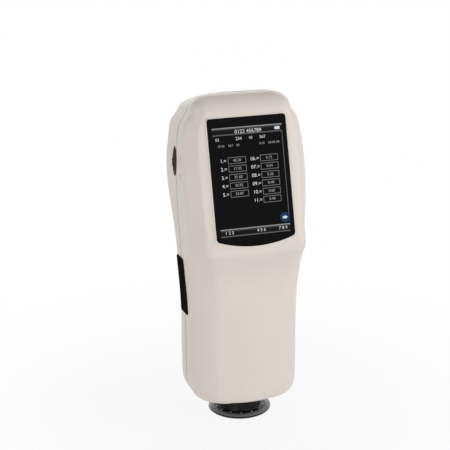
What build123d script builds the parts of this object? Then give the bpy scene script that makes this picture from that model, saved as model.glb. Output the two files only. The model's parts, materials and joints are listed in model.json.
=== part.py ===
from build123d import *
from dataclasses import dataclass
from math import cos, radians, sin, sqrt
import os

# Hand-held colour spectrophotometer, standing on its calibration cap.
# +X is the viewer's right, the display faces -Y and +Z is up.
# The origin is the centre of the cap's flat underside. Lengths are in millimetres.

os.makedirs("parts", exist_ok=True)

# Housing, outside
TOP_Z = 234.8            # where the top face crosses the Z axis
BOTTOM_Z = 16.0          # flat underside of the housing
WALL = 2.4
SEAM_Y = 2.0             # plane in which the two shells meet
SEAM_GAP = 0.3           # shadow line between the shells
GRIP_HALF_WIDTH = 38.9
HEAD_HALF_WIDTH = 43.6
CROWN_HALF_WIDTH = 35.6  # above the ogee shoulders
GRIP_FRONT = 31.5
GRIP_REAR = 32.6
GRIP_CORNER = 21.0
HEAD_REAR = 43.2
FLUTE_DEPTH = 1.1        # soft valley between the display panel and each cheek
DIMPLE_Y = -34.4         # front of the housing at the thumb dimple
DIMPLE_Z = 110.0
DIMPLE_DEPTH = 1.3
DIMPLE_HALF_HEIGHT = 11.0
DIMPLE_SLOPE = 15.0

# Display panel, which leans back
FACE_TILT = 15.5
FACE_Y = -30.6
FACE_Z = 180.0
PANEL_STEP = 0.5         # how far the glass and its rim stand out of the panel
PANEL_HALF_WIDTH = 29.6
PANEL_TOP = 45.0
TOP_ROLL = 16.0          # radius of the roll from the panel to the top

# Cover glass
GLASS_WIDTH = 55.6
GLASS_TOP = 43.1
GLASS_CORNER_LOW = -39.2
GLASS_DIP = -44.2
GLASS_THICK = 1.2
GLASS_RADIUS = 2.0
GLASS_GAP = 0.15
TAPE_THICK = 0.3
RIM_WIDTH = 0.9          # raised rim round the glass
RIM_ROUND = 0.3
GLASS_BEVEL = 0.25
LEDGE = 2.3              # shelf under the glass

# Display, its bracket and the main board, stacked behind the panel
LCD_WIDTH = 54.6
LCD_HEIGHT = 82.0
LCD_THICK = 2.6
LCD_CENTRE = -0.5
PANEL_CROWN = 0.3        # rise of the panel's middle over its edges
STACK_GAP = 0.1
BRACKET_THICK = 1.6
TAB_X = 31.5
TAB_RADIUS = 2.5
TAB_LOW = -30.0
TAB_HIGH = 20.0
SPACER_LENGTH = 5.0
SPACER_RADIUS = 2.4
BOARD_THICK = 1.6
BOARD_WIDTH = 56.0
BOARD_HEIGHT = 84.0
SPACER_X = 25.0
SPACER_Y = 38.5
CHIP_BIG = (14.0, 14.0, 1.6, 2.0, 14.0)       # width, height, thickness, x and y on the board
CHIP_MEMORY = (10.0, 8.0, 1.4, -14.0, 16.0)
CHIP_POWER = (7.0, 7.0, 1.4, 16.0, -10.0)
CHIP_COIL = (8.0, 8.0, 3.0, 16.0, -22.0)
CHIP_DRIVER = (12.0, 6.0, 1.5, -10.0, -6.0)
BOARD_CHIPS = (CHIP_BIG, CHIP_MEMORY, CHIP_POWER, CHIP_COIL, CHIP_DRIVER)
BUZZER_SPOT = (-14.0, -26.0)
BUZZER_RADIUS = 6.0
BUZZER_HEIGHT = 4.5

# Screws that clamp the shells
BOSS_RADIUS = 3.6
INSERT_RADIUS = 2.1
INSERT_LENGTH = 6.0
SCREW_RADIUS = 1.15
SCREW_HEAD_RADIUS = 2.3
SCREW_HEAD_HEIGHT = 1.8
SCREW_SEAT = 6.0         # from the seam to the screw head's seat
SCREW_SHANK = 10.0
SCREW_SOCKET = 1.1
SCREW_FREE = 0.3
POST_RADIUS = 2.5
SCREW_SPOTS = ((29.0, 29.0), (34.2, 130.0), (32.6, 206.0))

# Measuring collar and calibration cap
NECK_RADIUS = 13.4
NECK_BORE = 10.2
NECK_FLANGE_RADIUS = 18.0
NECK_FLANGE_THICK = 2.4
NECK_BOTTOM = 3.6
APERTURE_RADIUS = 4.0
APERTURE_PLATE_RADIUS = 11.8
APERTURE_PLATE_THICK = 1.8
CAP_RADIUS = 22.5
CAP_THICK = 2.9
CAP_FLOOR = 1.2
CAP_SLEEVE_TOP = 9.0
CAP_SLEEVE_THICK = 1.7
CAP_FIT = 0.15
TILE_THICK = 1.5
TILE_RING_THICK = 0.5
TILE_RING_BORE = 8.5

# Integrating sphere and what stands on it
SPHERE_Z = 46.0
SPHERE_RADIUS = 19.0
SPHERE_WALL = 2.0
SPHERE_FLANGE = 23.0
SPHERE_FLANGE_THICK = 2.0
SAMPLE_PORT = 9.0
PEDESTAL_RADIUS = 13.6
LED_COUNT = 6
LED_CIRCLE = 13.5
LED_RADIUS = 2.4
LED_LENGTH = 4.5
LAMP_BOARD_Z = 62.0
LAMP_BOARD_RADIUS = 21.0
LAMP_BOARD_BORE = 10.6
PILLAR_CIRCLE = 18.8
PILLAR_RADIUS = 2.0
VIEW_ANGLE = 8.0
TUBE_RADIUS = 5.0
TUBE_BORE = 3.8
TUBE_START = 20.5
TUBE_END = 38.5
LENS_THICK = 2.0
FIT = 0.1

# Spectrometer block on the optics frame
FRAME_Y = 24.0
FRAME_THICK = 2.0
FRAME_HALF_WIDTH = 24.0
FRAME_BOTTOM = 24.0
FRAME_TOP = 116.0
FRAME_POST_X = 17.0
FRAME_POST_Z = (34.0, 72.0, 110.0)
CASE_BOTTOM = 83.0
CASE_HEIGHT = 30.0
CASE_HALF_WIDTH = 20.0
CASE_DEPTH = 32.0
CASE_WALL = 2.0
COVER_THICK = 1.6
OPTIC_THICK = 1.5
OPTIC_TURN = 20.0
GRATING_SIZE = 10.0
GRATING_X = 6.5
GRATING_Z = 106.0
MIRROR_SIZE = 12.0
MIRROR_X = -13.0
MIRROR_Z = 96.0
SENSOR_X = 10.0
SENSOR_Z = 90.0
SENSOR_WIDTH = 14.0
SENSOR_DEPTH = 18.0
ARM_FRONT = 4.0          # how far the button arm reaches in front of the middle
ARM_HEIGHT = 26.0

# Power dial on the left side
DIAL_Y = 6.0
DIAL_Z = 187.0
DIAL_RADIUS = 30.0
DIAL_PROUD = 1.3
DIAL_HALF_WIDTH = 5.6
DIAL_EDGE_DROP = 1.9
DIAL_RIM = 3.0
DIAL_FREE = 0.3
DIAL_TRAVEL = 12.0       # degrees from I down to O
DIAL_SPAN = 22.0         # degrees of rim each side of the middle
DIAL_HUB = 3.2
DIAL_WEB = 3.0
DIAL_RIB = 0.3
DIAL_RIB_HALF = 1.6
DIAL_RIB_STEP = 1.6      # degrees between ribs
DIAL_POCKET = 36.4       # the dial's opening reaches in as far as this half width
DIAL_RIBS = 7
DIAL_PIN_RADIUS = 1.5
PIN_FIT = 0.05
LUG_THICK = 1.8
LUG_RADIUS = 3.6
SWITCH_REACH = 14.0
SWITCH_WIDTH = 7.0
SWITCH_HEIGHT = 6.0
SWITCH_DEEP = 5.0

# Measure button on the left side
BUTTON_Y = 4.0
BUTTON_Z = 98.0
BUTTON_WIDTH = 16.0
BUTTON_HEIGHT = 41.0
BUTTON_LEAN = 3.0
BUTTON_PROUD = 0.8
BUTTON_GAP = 0.35
BUTTON_RADIUS = 1.8
BUTTON_FLANGE = 2.0
BUTTON_FLANGE_THICK = 1.5
BUTTON_TRAVEL = 1.5
BUTTON_POST = 2.5
BUTTON_BOARD_THICK = 1.2
BUTTON_BOARD_WIDTH = 12.0
BUTTON_BOARD_HEIGHT = 30.0
KEY_SIZE = 6.0
KEY_HEIGHT = 3.5
KEY_STEM = 1.0
KEY_STEM_RADIUS = 1.7
KEY_GAP = 0.1
ARM_THICK = 2.0

# Port bay in the top of the rear shell
PORT_CENTRE = 17.3
PORT_WIDTH = 23.0
PORT_DEPTH = 10.0
PORT_COVER_THICK = 2.0
PORT_COVER_PROUD = 0.7
PORT_ROUND = 2.0
PORT_WELL_DEPTH = 9.0
PORT_SOCKET_TOP = 7.6
PORT_POST_X = 15.0
PORT_POST_RADIUS = 2.5
PORT_BOARD_WIDTH = 14.0
USB_X = -5.0
USB_WIDTH = 8.9
USB_HEIGHT = 3.2
JACK_X = 6.5
JACK_RADIUS = 2.7
PORT_GAP = 0.3
PORT_LEDGE = 1.1
PORT_BOARD_DEPTH = 14.0

# Battery in the rear of the head
BATTERY_WIDTH = 50.0
BATTERY_HEIGHT = 54.0
BATTERY_THICK = 11.0
BATTERY_Z = 182.0
BATTERY_FRONT = 20.0
BATTERY_FREE = 0.2
TRAY_WALL = 1.6
TRAY_POST_X = 18.0
TRAY_POST_RISE = 18.0
TRAY_HEIGHT = 7.0
PAD_THICK = 1.0

FACE_SIN = sin(radians(FACE_TILT))
FACE_COS = cos(radians(FACE_TILT))
FACE_PLANE = Plane(origin=(0, FACE_Y, FACE_Z), x_dir=(1, 0, 0), z_dir=(0, -FACE_COS, FACE_SIN))
TOP_PLANE = Plane(origin=(0, 0, TOP_Z), x_dir=(1, 0, 0), z_dir=(0, FACE_SIN, FACE_COS))
ROLL_START_Y = FACE_Y + PANEL_TOP * FACE_SIN
ROLL_START_Z = FACE_Z + PANEL_TOP * FACE_COS
ROLL_Y = ROLL_START_Y + TOP_ROLL * FACE_COS
ROLL_Z = ROLL_START_Z - TOP_ROLL * FACE_SIN


@dataclass(frozen=True)
class Station:
    """One section of the housing, in a plane that crosses the Z axis at a height."""

    height: float
    half_width: float
    front: float
    rear: float
    corner: float
    rear_corner: float
    tilt: float = 0.0
    crown: float = 0.0
    flute: float = 0.0
    corner_depth: float = 0.0


def panel_front(height, tilt, behind):
    """Distance from the Z axis to the leaning panel or the roll above it, along a tilted plane."""
    lean = radians(tilt)
    to_panel = FACE_Y * FACE_COS + (height - FACE_Z) * FACE_SIN + behind
    along = to_panel / cos(radians(FACE_TILT) - lean)
    if height - along * sin(lean) <= ROLL_START_Z:
        return -along
    radius = TOP_ROLL - behind
    middle = ROLL_Y * cos(lean) + (height - ROLL_Z) * sin(lean)
    rest = ROLL_Y**2 + (height - ROLL_Z) ** 2 - radius**2
    return sqrt(max(middle**2 - rest, 0.0)) - middle


def head_station(height, tilt, half_width, rear, rear_corner, corner_depth, flute=FLUTE_DEPTH, corner=0.0):
    """Station whose front follows the leaning panel and stays flat as far as the panel's edge."""
    front = panel_front(height, tilt, PANEL_STEP)
    corner = corner or half_width - PANEL_HALF_WIDTH
    return Station(height, half_width, front, rear, corner, rear_corner, tilt, 0.3, flute, corner_depth)


def outline(station, inset):
    """Closed section outline: front, corner, side and rear corner on each side, and the rear."""
    half = station.half_width - inset
    front = -station.front + inset
    rear = station.rear - inset
    corner = max(station.corner - inset, 2.0)
    deep = max((station.corner_depth or station.corner) - inset, 2.0)
    rear_corner = max(station.rear_corner - inset, 2.0)
    valley = station.flute if inset <= 0 else 0.0
    flat = half - corner
    flat_y = front + station.crown
    rear_flat = half - rear_corner
    rear_y = rear - 1.0

    def on_corner(angle, depth, side):
        """Point of the front corner at an angle, pushed in by a depth."""
        turn = radians(angle)
        return (side * (flat + (corner - depth) * sin(turn)), flat_y + deep - (deep - depth) * cos(turn))

    with BuildSketch(Plane(
        origin=(0, 0, station.height),
        x_dir=(1, 0, 0),
        z_dir=(0, sin(radians(station.tilt)), cos(radians(station.tilt))),
    )) as section:
        with BuildLine():
            ThreePointArc((-flat, flat_y), (0, front), (flat, flat_y))
            Spline(
                (flat, flat_y), on_corner(25, 0, 1), on_corner(52, valley, 1), on_corner(78, 0, 1),
                (half, flat_y + deep), tangents=[(1, 0.03), (0, 1)],
            )
            Line((half, flat_y + deep), (half, rear_y - rear_corner))
            Spline(
                (half, rear_y - rear_corner),
                (rear_flat + rear_corner * sin(radians(45)), rear_y - rear_corner * (1 - sin(radians(45)))),
                (rear_flat, rear_y), tangents=[(0, 1), (-1, 0.1)],
            )
            ThreePointArc((rear_flat, rear_y), (0, rear), (-rear_flat, rear_y))
            Spline(
                (-rear_flat, rear_y),
                (-rear_flat - rear_corner * sin(radians(45)), rear_y - rear_corner * (1 - sin(radians(45)))),
                (-half, rear_y - rear_corner), tangents=[(-1, -0.1), (0, -1)],
            )
            Line((-half, rear_y - rear_corner), (-half, flat_y + deep))
            Spline(
                (-half, flat_y + deep), on_corner(78, 0, -1), on_corner(52, valley, -1), on_corner(25, 0, -1),
                (-flat, flat_y), tangents=[(0, -1), (1, -0.03)],
            )
        make_face()
    return section.sketch


def between(share, low=GRIP_HALF_WIDTH, high=HEAD_HALF_WIDTH):
    """Value a share of the way from one size to another."""
    return low + share * (high - low)


FOOT_JOIN = Station(40, GRIP_HALF_WIDTH, GRIP_FRONT, GRIP_REAR, GRIP_CORNER, GRIP_CORNER, crown=2.0)
FOOT_STATIONS = (
    Station(BOTTOM_Z, GRIP_HALF_WIDTH - 6.9, GRIP_FRONT - 2.8, GRIP_REAR - 4.5, 19, 19, crown=2.0),
    Station(BOTTOM_Z + 1.4, GRIP_HALF_WIDTH - 4.0, GRIP_FRONT - 1.6, GRIP_REAR - 2.8, 19.5, 19.5, crown=2.0),
    Station(BOTTOM_Z + 4.0, GRIP_HALF_WIDTH - 1.8, GRIP_FRONT - 0.8, GRIP_REAR - 1.4, 20, 20, crown=2.0),
    Station(BOTTOM_Z + 8.0, GRIP_HALF_WIDTH - 0.6, GRIP_FRONT - 0.3, GRIP_REAR - 0.4, 20.5, 20.5, crown=2.0),
    Station(BOTTOM_Z + 13, GRIP_HALF_WIDTH - 0.1, GRIP_FRONT, GRIP_REAR, GRIP_CORNER, GRIP_CORNER, crown=2.0),
    Station(BOTTOM_Z + 18.4, GRIP_HALF_WIDTH, GRIP_FRONT, GRIP_REAR, GRIP_CORNER, GRIP_CORNER, crown=2.0),
    FOOT_JOIN,
)
CROWN_JOIN = head_station(206, 6, HEAD_HALF_WIDTH - 1.2, HEAD_REAR - 1.6, 18, 14.6, 1.0)
BODY_STATIONS = (
    FOOT_JOIN,
    Station(54, GRIP_HALF_WIDTH, GRIP_FRONT, GRIP_REAR, GRIP_CORNER, GRIP_CORNER, crown=2.0),
    Station(68, GRIP_HALF_WIDTH, GRIP_FRONT + 0.1, GRIP_REAR - 0.4, GRIP_CORNER, GRIP_CORNER, crown=2.0),
    Station(82, between(0.03), GRIP_FRONT + 0.3, GRIP_REAR - 1.0, GRIP_CORNER, GRIP_CORNER, crown=1.8),
    Station(95, between(0.15), GRIP_FRONT + 0.8, GRIP_REAR - 1.5, GRIP_CORNER, GRIP_CORNER, crown=1.6),
    Station(107, between(0.33), GRIP_FRONT + 2.1, GRIP_REAR - 1.5, 20, 21, crown=1.4, corner_depth=21.5),
    Station(117, between(0.46), GRIP_FRONT + 4.8, GRIP_REAR - 1.1, 18, 21, crown=1.2, corner_depth=23),
    Station(
        125.5, between(0.55), GRIP_FRONT + 8.8, GRIP_REAR - 0.4, 15, 21,
        crown=0.8, flute=0.4, corner_depth=25,
    ),
    head_station(133, 0, between(0.61), GRIP_REAR + 1.0, 20.5, 26, 0.8),
    head_station(141, 0, between(0.70), GRIP_REAR + 2.9, 20, 25),
    head_station(151, 0, between(0.82), GRIP_REAR + 5.7, 19, 22),
    head_station(162, 1, between(0.94), HEAD_REAR - 2.4, 18, 19),
    head_station(174, 2, HEAD_HALF_WIDTH, HEAD_REAR - 0.5, 17, 16.5),
    head_station(186, 3.5, HEAD_HALF_WIDTH, HEAD_REAR, 17, 15),
    head_station(197, 5, HEAD_HALF_WIDTH - 0.5, HEAD_REAR - 0.7, 17.5, 14.6),
    CROWN_JOIN,
)
CROWN_STATIONS = (
    CROWN_JOIN,
    head_station(210.5, 6, HEAD_HALF_WIDTH - 1.8, HEAD_REAR - 2.2, 17, 14.6, 0.8),
    head_station(214.8, 6.5, HEAD_HALF_WIDTH - 2.8, HEAD_REAR - 3.1, 16, 13.6, 0.5, 12),
    head_station(218.6, 7, CROWN_HALF_WIDTH + 3.0, HEAD_REAR - 4.2, 15, 12, 0.2, 12),
    head_station(222.4, 8, CROWN_HALF_WIDTH + 0.4, HEAD_REAR - 5.6, 13, 11, 0.0, 11),
    head_station(226.2, 10, CROWN_HALF_WIDTH - 0.7, HEAD_REAR - 7.5, 12, 10, 0.0, 10),
    head_station(229.5, 12, CROWN_HALF_WIDTH - 2.5, HEAD_REAR - 10.2, 11, 9, 0.0, 9),
    head_station(232.3, 14, CROWN_HALF_WIDTH - 5.7, HEAD_REAR - 13.8, 10, 8, 0.0, 8),
    head_station(234.0, 15, CROWN_HALF_WIDTH - 9.3, HEAD_REAR - 17.2, 9, 7, 0.0, 7),
    head_station(TOP_Z, FACE_TILT, CROWN_HALF_WIDTH - 13.2, HEAD_REAR - 20.6, 8, 6, 0.0, 6),
)
ROOF_LIMIT = 230.0       # highest station that the hollow follows
ROOF_SKIP = 226.2        # station that the smoother hollow leaves out


def floor_station(inset):
    """Flat floor of the hollow, above the underside of the housing."""
    low = FOOT_STATIONS[1]
    return Station(
        BOTTOM_Z + inset, low.half_width, low.front, low.rear, low.corner, low.rear_corner, crown=low.crown,
    )


def roof_station(inset):
    """Flat ceiling of the hollow, under the top face."""
    height = TOP_Z - inset
    front = panel_front(height, FACE_TILT, PANEL_STEP + inset)
    return Station(height, CROWN_HALF_WIDTH - 9.5, front, HEAD_REAR - 18, 8, 9, FACE_TILT, 0.3)


def middle_skin(inset):
    """Long middle part of the housing skin, moved in or out by a distance."""
    with BuildPart() as body:
        loft(sections=[outline(station, inset) for station in BODY_STATIONS])
    return body.part


def outer_skin():
    """Outer skin of the housing: the foot, and one smooth loft from the grip to the top."""
    with BuildPart() as body:
        loft(sections=[outline(station, 0) for station in FOOT_STATIONS])
        loft(sections=[outline(station, 0) for station in BODY_STATIONS + CROWN_STATIONS[1:]])
    return body.part


def hollow_skin(inset):
    """Hollow of the housing, with a flat floor and a flat ceiling, a wall inside the outer skin."""
    floor = floor_station(inset)
    foot = [outline(floor, inset)]
    foot += [outline(station, inset) for station in FOOT_STATIONS if station.height > floor.height + 1]
    kept = [station for station in CROWN_STATIONS if station.height < ROOF_LIMIT]
    crown = [outline(station, inset) for station in kept if station.height != ROOF_SKIP]
    crown.append(outline(roof_station(inset), 0))
    with BuildPart() as body:
        loft(sections=foot)
        loft(sections=[outline(station, inset) for station in BODY_STATIONS])
        loft(sections=crown)
    return body.part


def save(piece, name):
    """Label a finished piece and write it under its node name."""
    piece.label = name
    export_step(piece, f"parts/{name}.step")


def across(z):
    """Plane at a height whose X runs along the part's X and whose Y runs to the rear."""
    return Plane.XY.offset(z)


def along_y(y):
    """Plane facing the rear at a depth: its X runs to the viewer's left, its Y up."""
    return Plane(origin=(0, y, 0), x_dir=(-1, 0, 0), z_dir=(0, 1, 0))


def side_plane(x):
    """Plane facing left at a distance: its X runs to the front, its Y up."""
    return Plane(origin=(x, 0, 0), x_dir=(0, -1, 0), z_dir=(-1, 0, 0))


def face_level(depth):
    """Plane parallel to the cover glass, a depth behind its front."""
    return FACE_PLANE.offset(-depth)


def top_level(depth):
    """Plane parallel to the top face, a depth under it."""
    return TOP_PLANE.offset(-depth)


def glass_outline(grow):
    """Outline of the cover glass with its dipped lower edge, grown by a distance."""
    half = GLASS_WIDTH / 2 + grow
    top = GLASS_TOP + grow
    low = GLASS_CORNER_LOW - grow
    dip = GLASS_DIP - grow
    with BuildSketch() as shape:
        with BuildLine():
            Line((-half, low), (-half, top))
            Line((-half, top), (half, top))
            Line((half, top), (half, low))
            ThreePointArc((half, low), (0, dip), (-half, low))
        make_face()
        fillet(shape.vertices().group_by(Axis.Y)[-1], max(GLASS_RADIUS + grow, 0.8))
        fillet(shape.vertices().group_by(Axis.Y)[0], max(GLASS_RADIUS + grow + 1, 1.5))
    return shape.sketch


OUTER = outer_skin()
HOLLOW = hollow_skin(WALL)
GLASS_BED = GLASS_THICK + TAPE_THICK
PANEL_BACK = PANEL_STEP + WALL
LCD_FRONT = PANEL_BACK + PANEL_CROWN + STACK_GAP
BRACKET_FRONT = LCD_FRONT + LCD_THICK + STACK_GAP
BRACKET_BACK = BRACKET_FRONT + BRACKET_THICK
BOARD_FRONT = BRACKET_BACK + SPACER_LENGTH
BOARD_BACK = BOARD_FRONT + BOARD_THICK
FRONT_EDGE = SEAM_Y - SEAM_GAP / 2
REAR_EDGE = SEAM_Y + SEAM_GAP / 2
SCREW_FACE = SEAM_Y + SCREW_SEAT
DIAL_AXIS_X = DIAL_RADIUS - HEAD_HALF_WIDTH - DIAL_PROUD
DIAL_FRONT = DIAL_Y - DIAL_HALF_WIDTH
DIAL_BACK = DIAL_Y + DIAL_HALF_WIDTH
TRAY_FLOOR = BATTERY_FRONT + BATTERY_THICK + PAD_THICK
TRAY_BACK = TRAY_FLOOR + TRAY_WALL
SCREW_CENTRES = [(side * x, z) for x, z in SCREW_SPOTS for side in (-1, 1)]
TRAY_SIDES = (-TRAY_POST_X, TRAY_POST_X)
TRAY_LEVELS = (BATTERY_Z - TRAY_POST_RISE, BATTERY_Z + TRAY_POST_RISE)
TRAY_POSTS = [(x, z) for x in TRAY_SIDES for z in TRAY_LEVELS]

with BuildPart() as glass_rim:
    with BuildSketch(face_level(0)):
        add(glass_outline(RIM_WIDTH))
    extrude(amount=-GLASS_BED - 1)
    fillet(glass_rim.faces().sort_by(Axis.Y)[0].edges(), RIM_ROUND)

with BuildPart() as glass_bed:
    with BuildSketch(face_level(0)):
        add(glass_outline(GLASS_GAP))
    extrude(amount=-GLASS_BED)
    with BuildSketch(face_level(0)):
        add(glass_outline(GLASS_GAP))
    extrude(amount=2)
    with BuildSketch(face_level(0)):
        add(glass_outline(-LEDGE))
    extrude(amount=-PANEL_BACK - 1)

DIMPLE_SWING = DIMPLE_HALF_HEIGHT**2 / DIMPLE_DEPTH / 2 + DIMPLE_DEPTH / 2
DIMPLE_LEAN = radians(DIMPLE_SLOPE)
with BuildPart() as dimple:
    with BuildSketch(side_plane(30)):
        with Locations((
            DIMPLE_SWING * cos(DIMPLE_LEAN) - DIMPLE_Y - DIMPLE_DEPTH,
            DIMPLE_Z - DIMPLE_SWING * sin(DIMPLE_LEAN),
        )):
            Circle(DIMPLE_SWING)
    extrude(amount=60)

with BuildPart() as dial_sweep:
    with BuildSketch(Plane(origin=(DIAL_AXIS_X, DIAL_Y, DIAL_Z), x_dir=(-1, 0, 0), z_dir=(0, 0, 1))):
        with BuildLine():
            rim = DIAL_RADIUS + DIAL_FREE
            edge = rim - DIAL_EDGE_DROP
            wide = DIAL_HALF_WIDTH + DIAL_FREE
            Line((0, -wide), (edge, -wide))
            ThreePointArc((edge, -wide), (rim, 0), (edge, wide))
            Polyline((edge, wide), (0, wide), (0, -wide))
        make_face()
    revolve(axis=Axis((DIAL_AXIS_X, DIAL_Y, DIAL_Z), (0, 1, 0)))
    with BuildSketch(side_plane(-DIAL_POCKET)):
        with Locations((-DIAL_Y, DIAL_Z)):
            Rectangle(4 * DIAL_HALF_WIDTH, 2 * DIAL_RADIUS)
    extrude(amount=DIAL_RADIUS, mode=Mode.INTERSECT)

with BuildPart() as button_window:
    with BuildSketch(side_plane(0)):
        with Locations((-BUTTON_Y, BUTTON_Z)):
            RectangleRounded(
                BUTTON_WIDTH + 2 * BUTTON_GAP, BUTTON_HEIGHT + 2 * BUTTON_GAP, BUTTON_RADIUS,
                rotation=BUTTON_LEAN,
            )
    extrude(amount=HEAD_HALF_WIDTH + 5)

with BuildPart() as port_well:
    with BuildSketch(top_level(-2)):
        with Locations((0, PORT_CENTRE)):
            RectangleRounded(PORT_WIDTH + 2 * PORT_GAP, PORT_DEPTH + 2 * PORT_GAP, PORT_ROUND)
    extrude(amount=-2 - PORT_COVER_THICK - PORT_GAP)
    with BuildSketch(top_level(0)):
        with Locations((0, PORT_CENTRE)):
            RectangleRounded(PORT_WIDTH - 2 * PORT_LEDGE, PORT_DEPTH - 2 * PORT_LEDGE, PORT_ROUND / 2)
    extrude(amount=-PORT_WELL_DEPTH - 1)

with BuildPart() as port_block:
    with BuildSketch(top_level(1)):
        with Locations((0, PORT_CENTRE)):
            RectangleRounded(PORT_WIDTH + 4, PORT_DEPTH + 4, 2)
    extrude(amount=1 - PORT_WELL_DEPTH)
    with BuildSketch(top_level(1)):
        with Locations((-PORT_POST_X, PORT_CENTRE), (PORT_POST_X, PORT_CENTRE)):
            Circle(PORT_POST_RADIUS)
    extrude(amount=1 - PORT_BOARD_DEPTH)

with BuildPart() as neck_hole:
    with BuildSketch(across(BOTTOM_Z - 1)):
        Circle(NECK_RADIUS + CAP_FIT)
    extrude(amount=WALL + 2)

with BuildPart() as front_ribs:
    with BuildSketch(along_y(FRONT_EDGE)):
        with Locations(*SCREW_CENTRES):
            Circle(BOSS_RADIUS)
    extrude(amount=-60)
    with BuildSketch(along_y(FRONT_EDGE)):
        with Locations(*SCREW_CENTRES):
            Circle(INSERT_RADIUS + PIN_FIT)
    extrude(amount=-INSERT_LENGTH, mode=Mode.SUBTRACT)
    with BuildSketch(face_level(BRACKET_FRONT)):
        with Locations(*[(side * TAB_X, y) for side in (-1, 1) for y in (TAB_LOW, TAB_HIGH)]):
            Circle(TAB_RADIUS)
    extrude(amount=BRACKET_FRONT)

with BuildPart() as front_lug:
    with BuildSketch(along_y(DIAL_FRONT - DIAL_FREE)):
        with Locations(((HEAD_HALF_WIDTH - DIAL_AXIS_X) / 2, DIAL_Z)):
            Rectangle(HEAD_HALF_WIDTH + DIAL_AXIS_X, 2 * LUG_RADIUS)
        with Locations((-DIAL_AXIS_X, DIAL_Z)):
            Circle(LUG_RADIUS)
            Circle(DIAL_PIN_RADIUS + PIN_FIT, mode=Mode.SUBTRACT)
    extrude(amount=-LUG_THICK)

with BuildPart() as rear_ribs:
    with BuildSketch(along_y(REAR_EDGE)):
        with Locations(*SCREW_CENTRES):
            Circle(BOSS_RADIUS)
    extrude(amount=60)
    with BuildSketch(along_y(TRAY_BACK)):
        with Locations(*TRAY_POSTS):
            Circle(POST_RADIUS)
    extrude(amount=30)
    with BuildSketch(along_y(FRAME_Y + FRAME_THICK)):
        with Locations(*[(side * FRAME_POST_X, z) for side in (-1, 1) for z in FRAME_POST_Z]):
            Circle(POST_RADIUS)
    extrude(amount=30)

with BuildPart() as rear_lug:
    with BuildSketch(along_y(DIAL_BACK + DIAL_FREE)):
        with Locations(((HEAD_HALF_WIDTH - DIAL_AXIS_X) / 2, DIAL_Z)):
            Rectangle(HEAD_HALF_WIDTH + DIAL_AXIS_X, 2 * LUG_RADIUS)
        with Locations((-DIAL_AXIS_X, DIAL_Z)):
            Circle(LUG_RADIUS)
        with Locations((-DIAL_AXIS_X - SWITCH_REACH / 2, DIAL_Z)):
            Rectangle(SWITCH_REACH, 2 * LUG_RADIUS)
        with Locations((-DIAL_AXIS_X, DIAL_Z)):
            Circle(DIAL_PIN_RADIUS + PIN_FIT, mode=Mode.SUBTRACT)
    extrude(amount=LUG_THICK)

with BuildPart() as screw_ways:
    with BuildSketch(along_y(SEAM_Y)):
        with Locations(*SCREW_CENTRES):
            Circle(SCREW_RADIUS + SCREW_FREE)
    extrude(amount=SCREW_SEAT)
    with BuildSketch(along_y(SCREW_FACE)):
        with Locations(*SCREW_CENTRES):
            Circle(SCREW_HEAD_RADIUS + SCREW_FREE)
    extrude(amount=60)


def half_space(y, front):
    """Block that holds everything in front of a depth, or behind it."""
    with BuildPart() as block:
        with BuildSketch(along_y(y)):
            with Locations((0, TOP_Z / 2)):
                Rectangle(4 * HEAD_HALF_WIDTH, 2 * TOP_Z)
        extrude(amount=-200 if front else 200)
    return block.part


with BuildPart() as front_hollow:
    add(HOLLOW)
    add(half_space(SEAM_Y, True), mode=Mode.INTERSECT)
    add(front_ribs.part, mode=Mode.SUBTRACT)
    add(front_lug.part, mode=Mode.SUBTRACT)

with BuildPart() as front_shell:
    add(OUTER)
    add(glass_rim.part)
    add(half_space(FRONT_EDGE, True), mode=Mode.INTERSECT)
    add(dimple.part, mode=Mode.SUBTRACT)
    add(front_hollow.part, mode=Mode.SUBTRACT)
    add(glass_bed.part, mode=Mode.SUBTRACT)
    add(button_window.part, mode=Mode.SUBTRACT)
    add(dial_sweep.part, mode=Mode.SUBTRACT)
    add(neck_hole.part, mode=Mode.SUBTRACT)
save(front_shell.part, "front_shell")

with BuildPart() as rear_hollow:
    add(HOLLOW)
    add(half_space(SEAM_Y, False), mode=Mode.INTERSECT)
    add(rear_ribs.part, mode=Mode.SUBTRACT)
    add(rear_lug.part, mode=Mode.SUBTRACT)
    add(port_block.part, mode=Mode.SUBTRACT)

with BuildPart() as rear_shell:
    add(OUTER)
    add(half_space(REAR_EDGE, False), mode=Mode.INTERSECT)
    add(rear_hollow.part, mode=Mode.SUBTRACT)
    add(port_well.part, mode=Mode.SUBTRACT)
    add(button_window.part, mode=Mode.SUBTRACT)
    add(dial_sweep.part, mode=Mode.SUBTRACT)
    add(neck_hole.part, mode=Mode.SUBTRACT)
    add(screw_ways.part, mode=Mode.SUBTRACT)
save(rear_shell.part, "rear_shell")

with BuildPart() as display_window:
    with BuildSketch(face_level(0)):
        add(glass_outline(0))
    extrude(amount=-GLASS_THICK)
    chamfer(display_window.faces().sort_by(Axis.Y)[0].edges(), GLASS_BEVEL)
save(display_window.part, "display_window")

with BuildPart() as window_tape:
    with BuildSketch(face_level(GLASS_THICK)):
        add(glass_outline(-GLASS_GAP))
        add(glass_outline(-LEDGE), mode=Mode.SUBTRACT)
    extrude(amount=-TAPE_THICK)
save(window_tape.part, "window_tape")

with BuildPart() as lcd_module:
    with BuildSketch(face_level(LCD_FRONT)):
        with Locations((0, LCD_CENTRE)):
            RectangleRounded(LCD_WIDTH, LCD_HEIGHT, 1)
    extrude(amount=-LCD_THICK)
save(lcd_module.part, "lcd_module")

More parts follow.
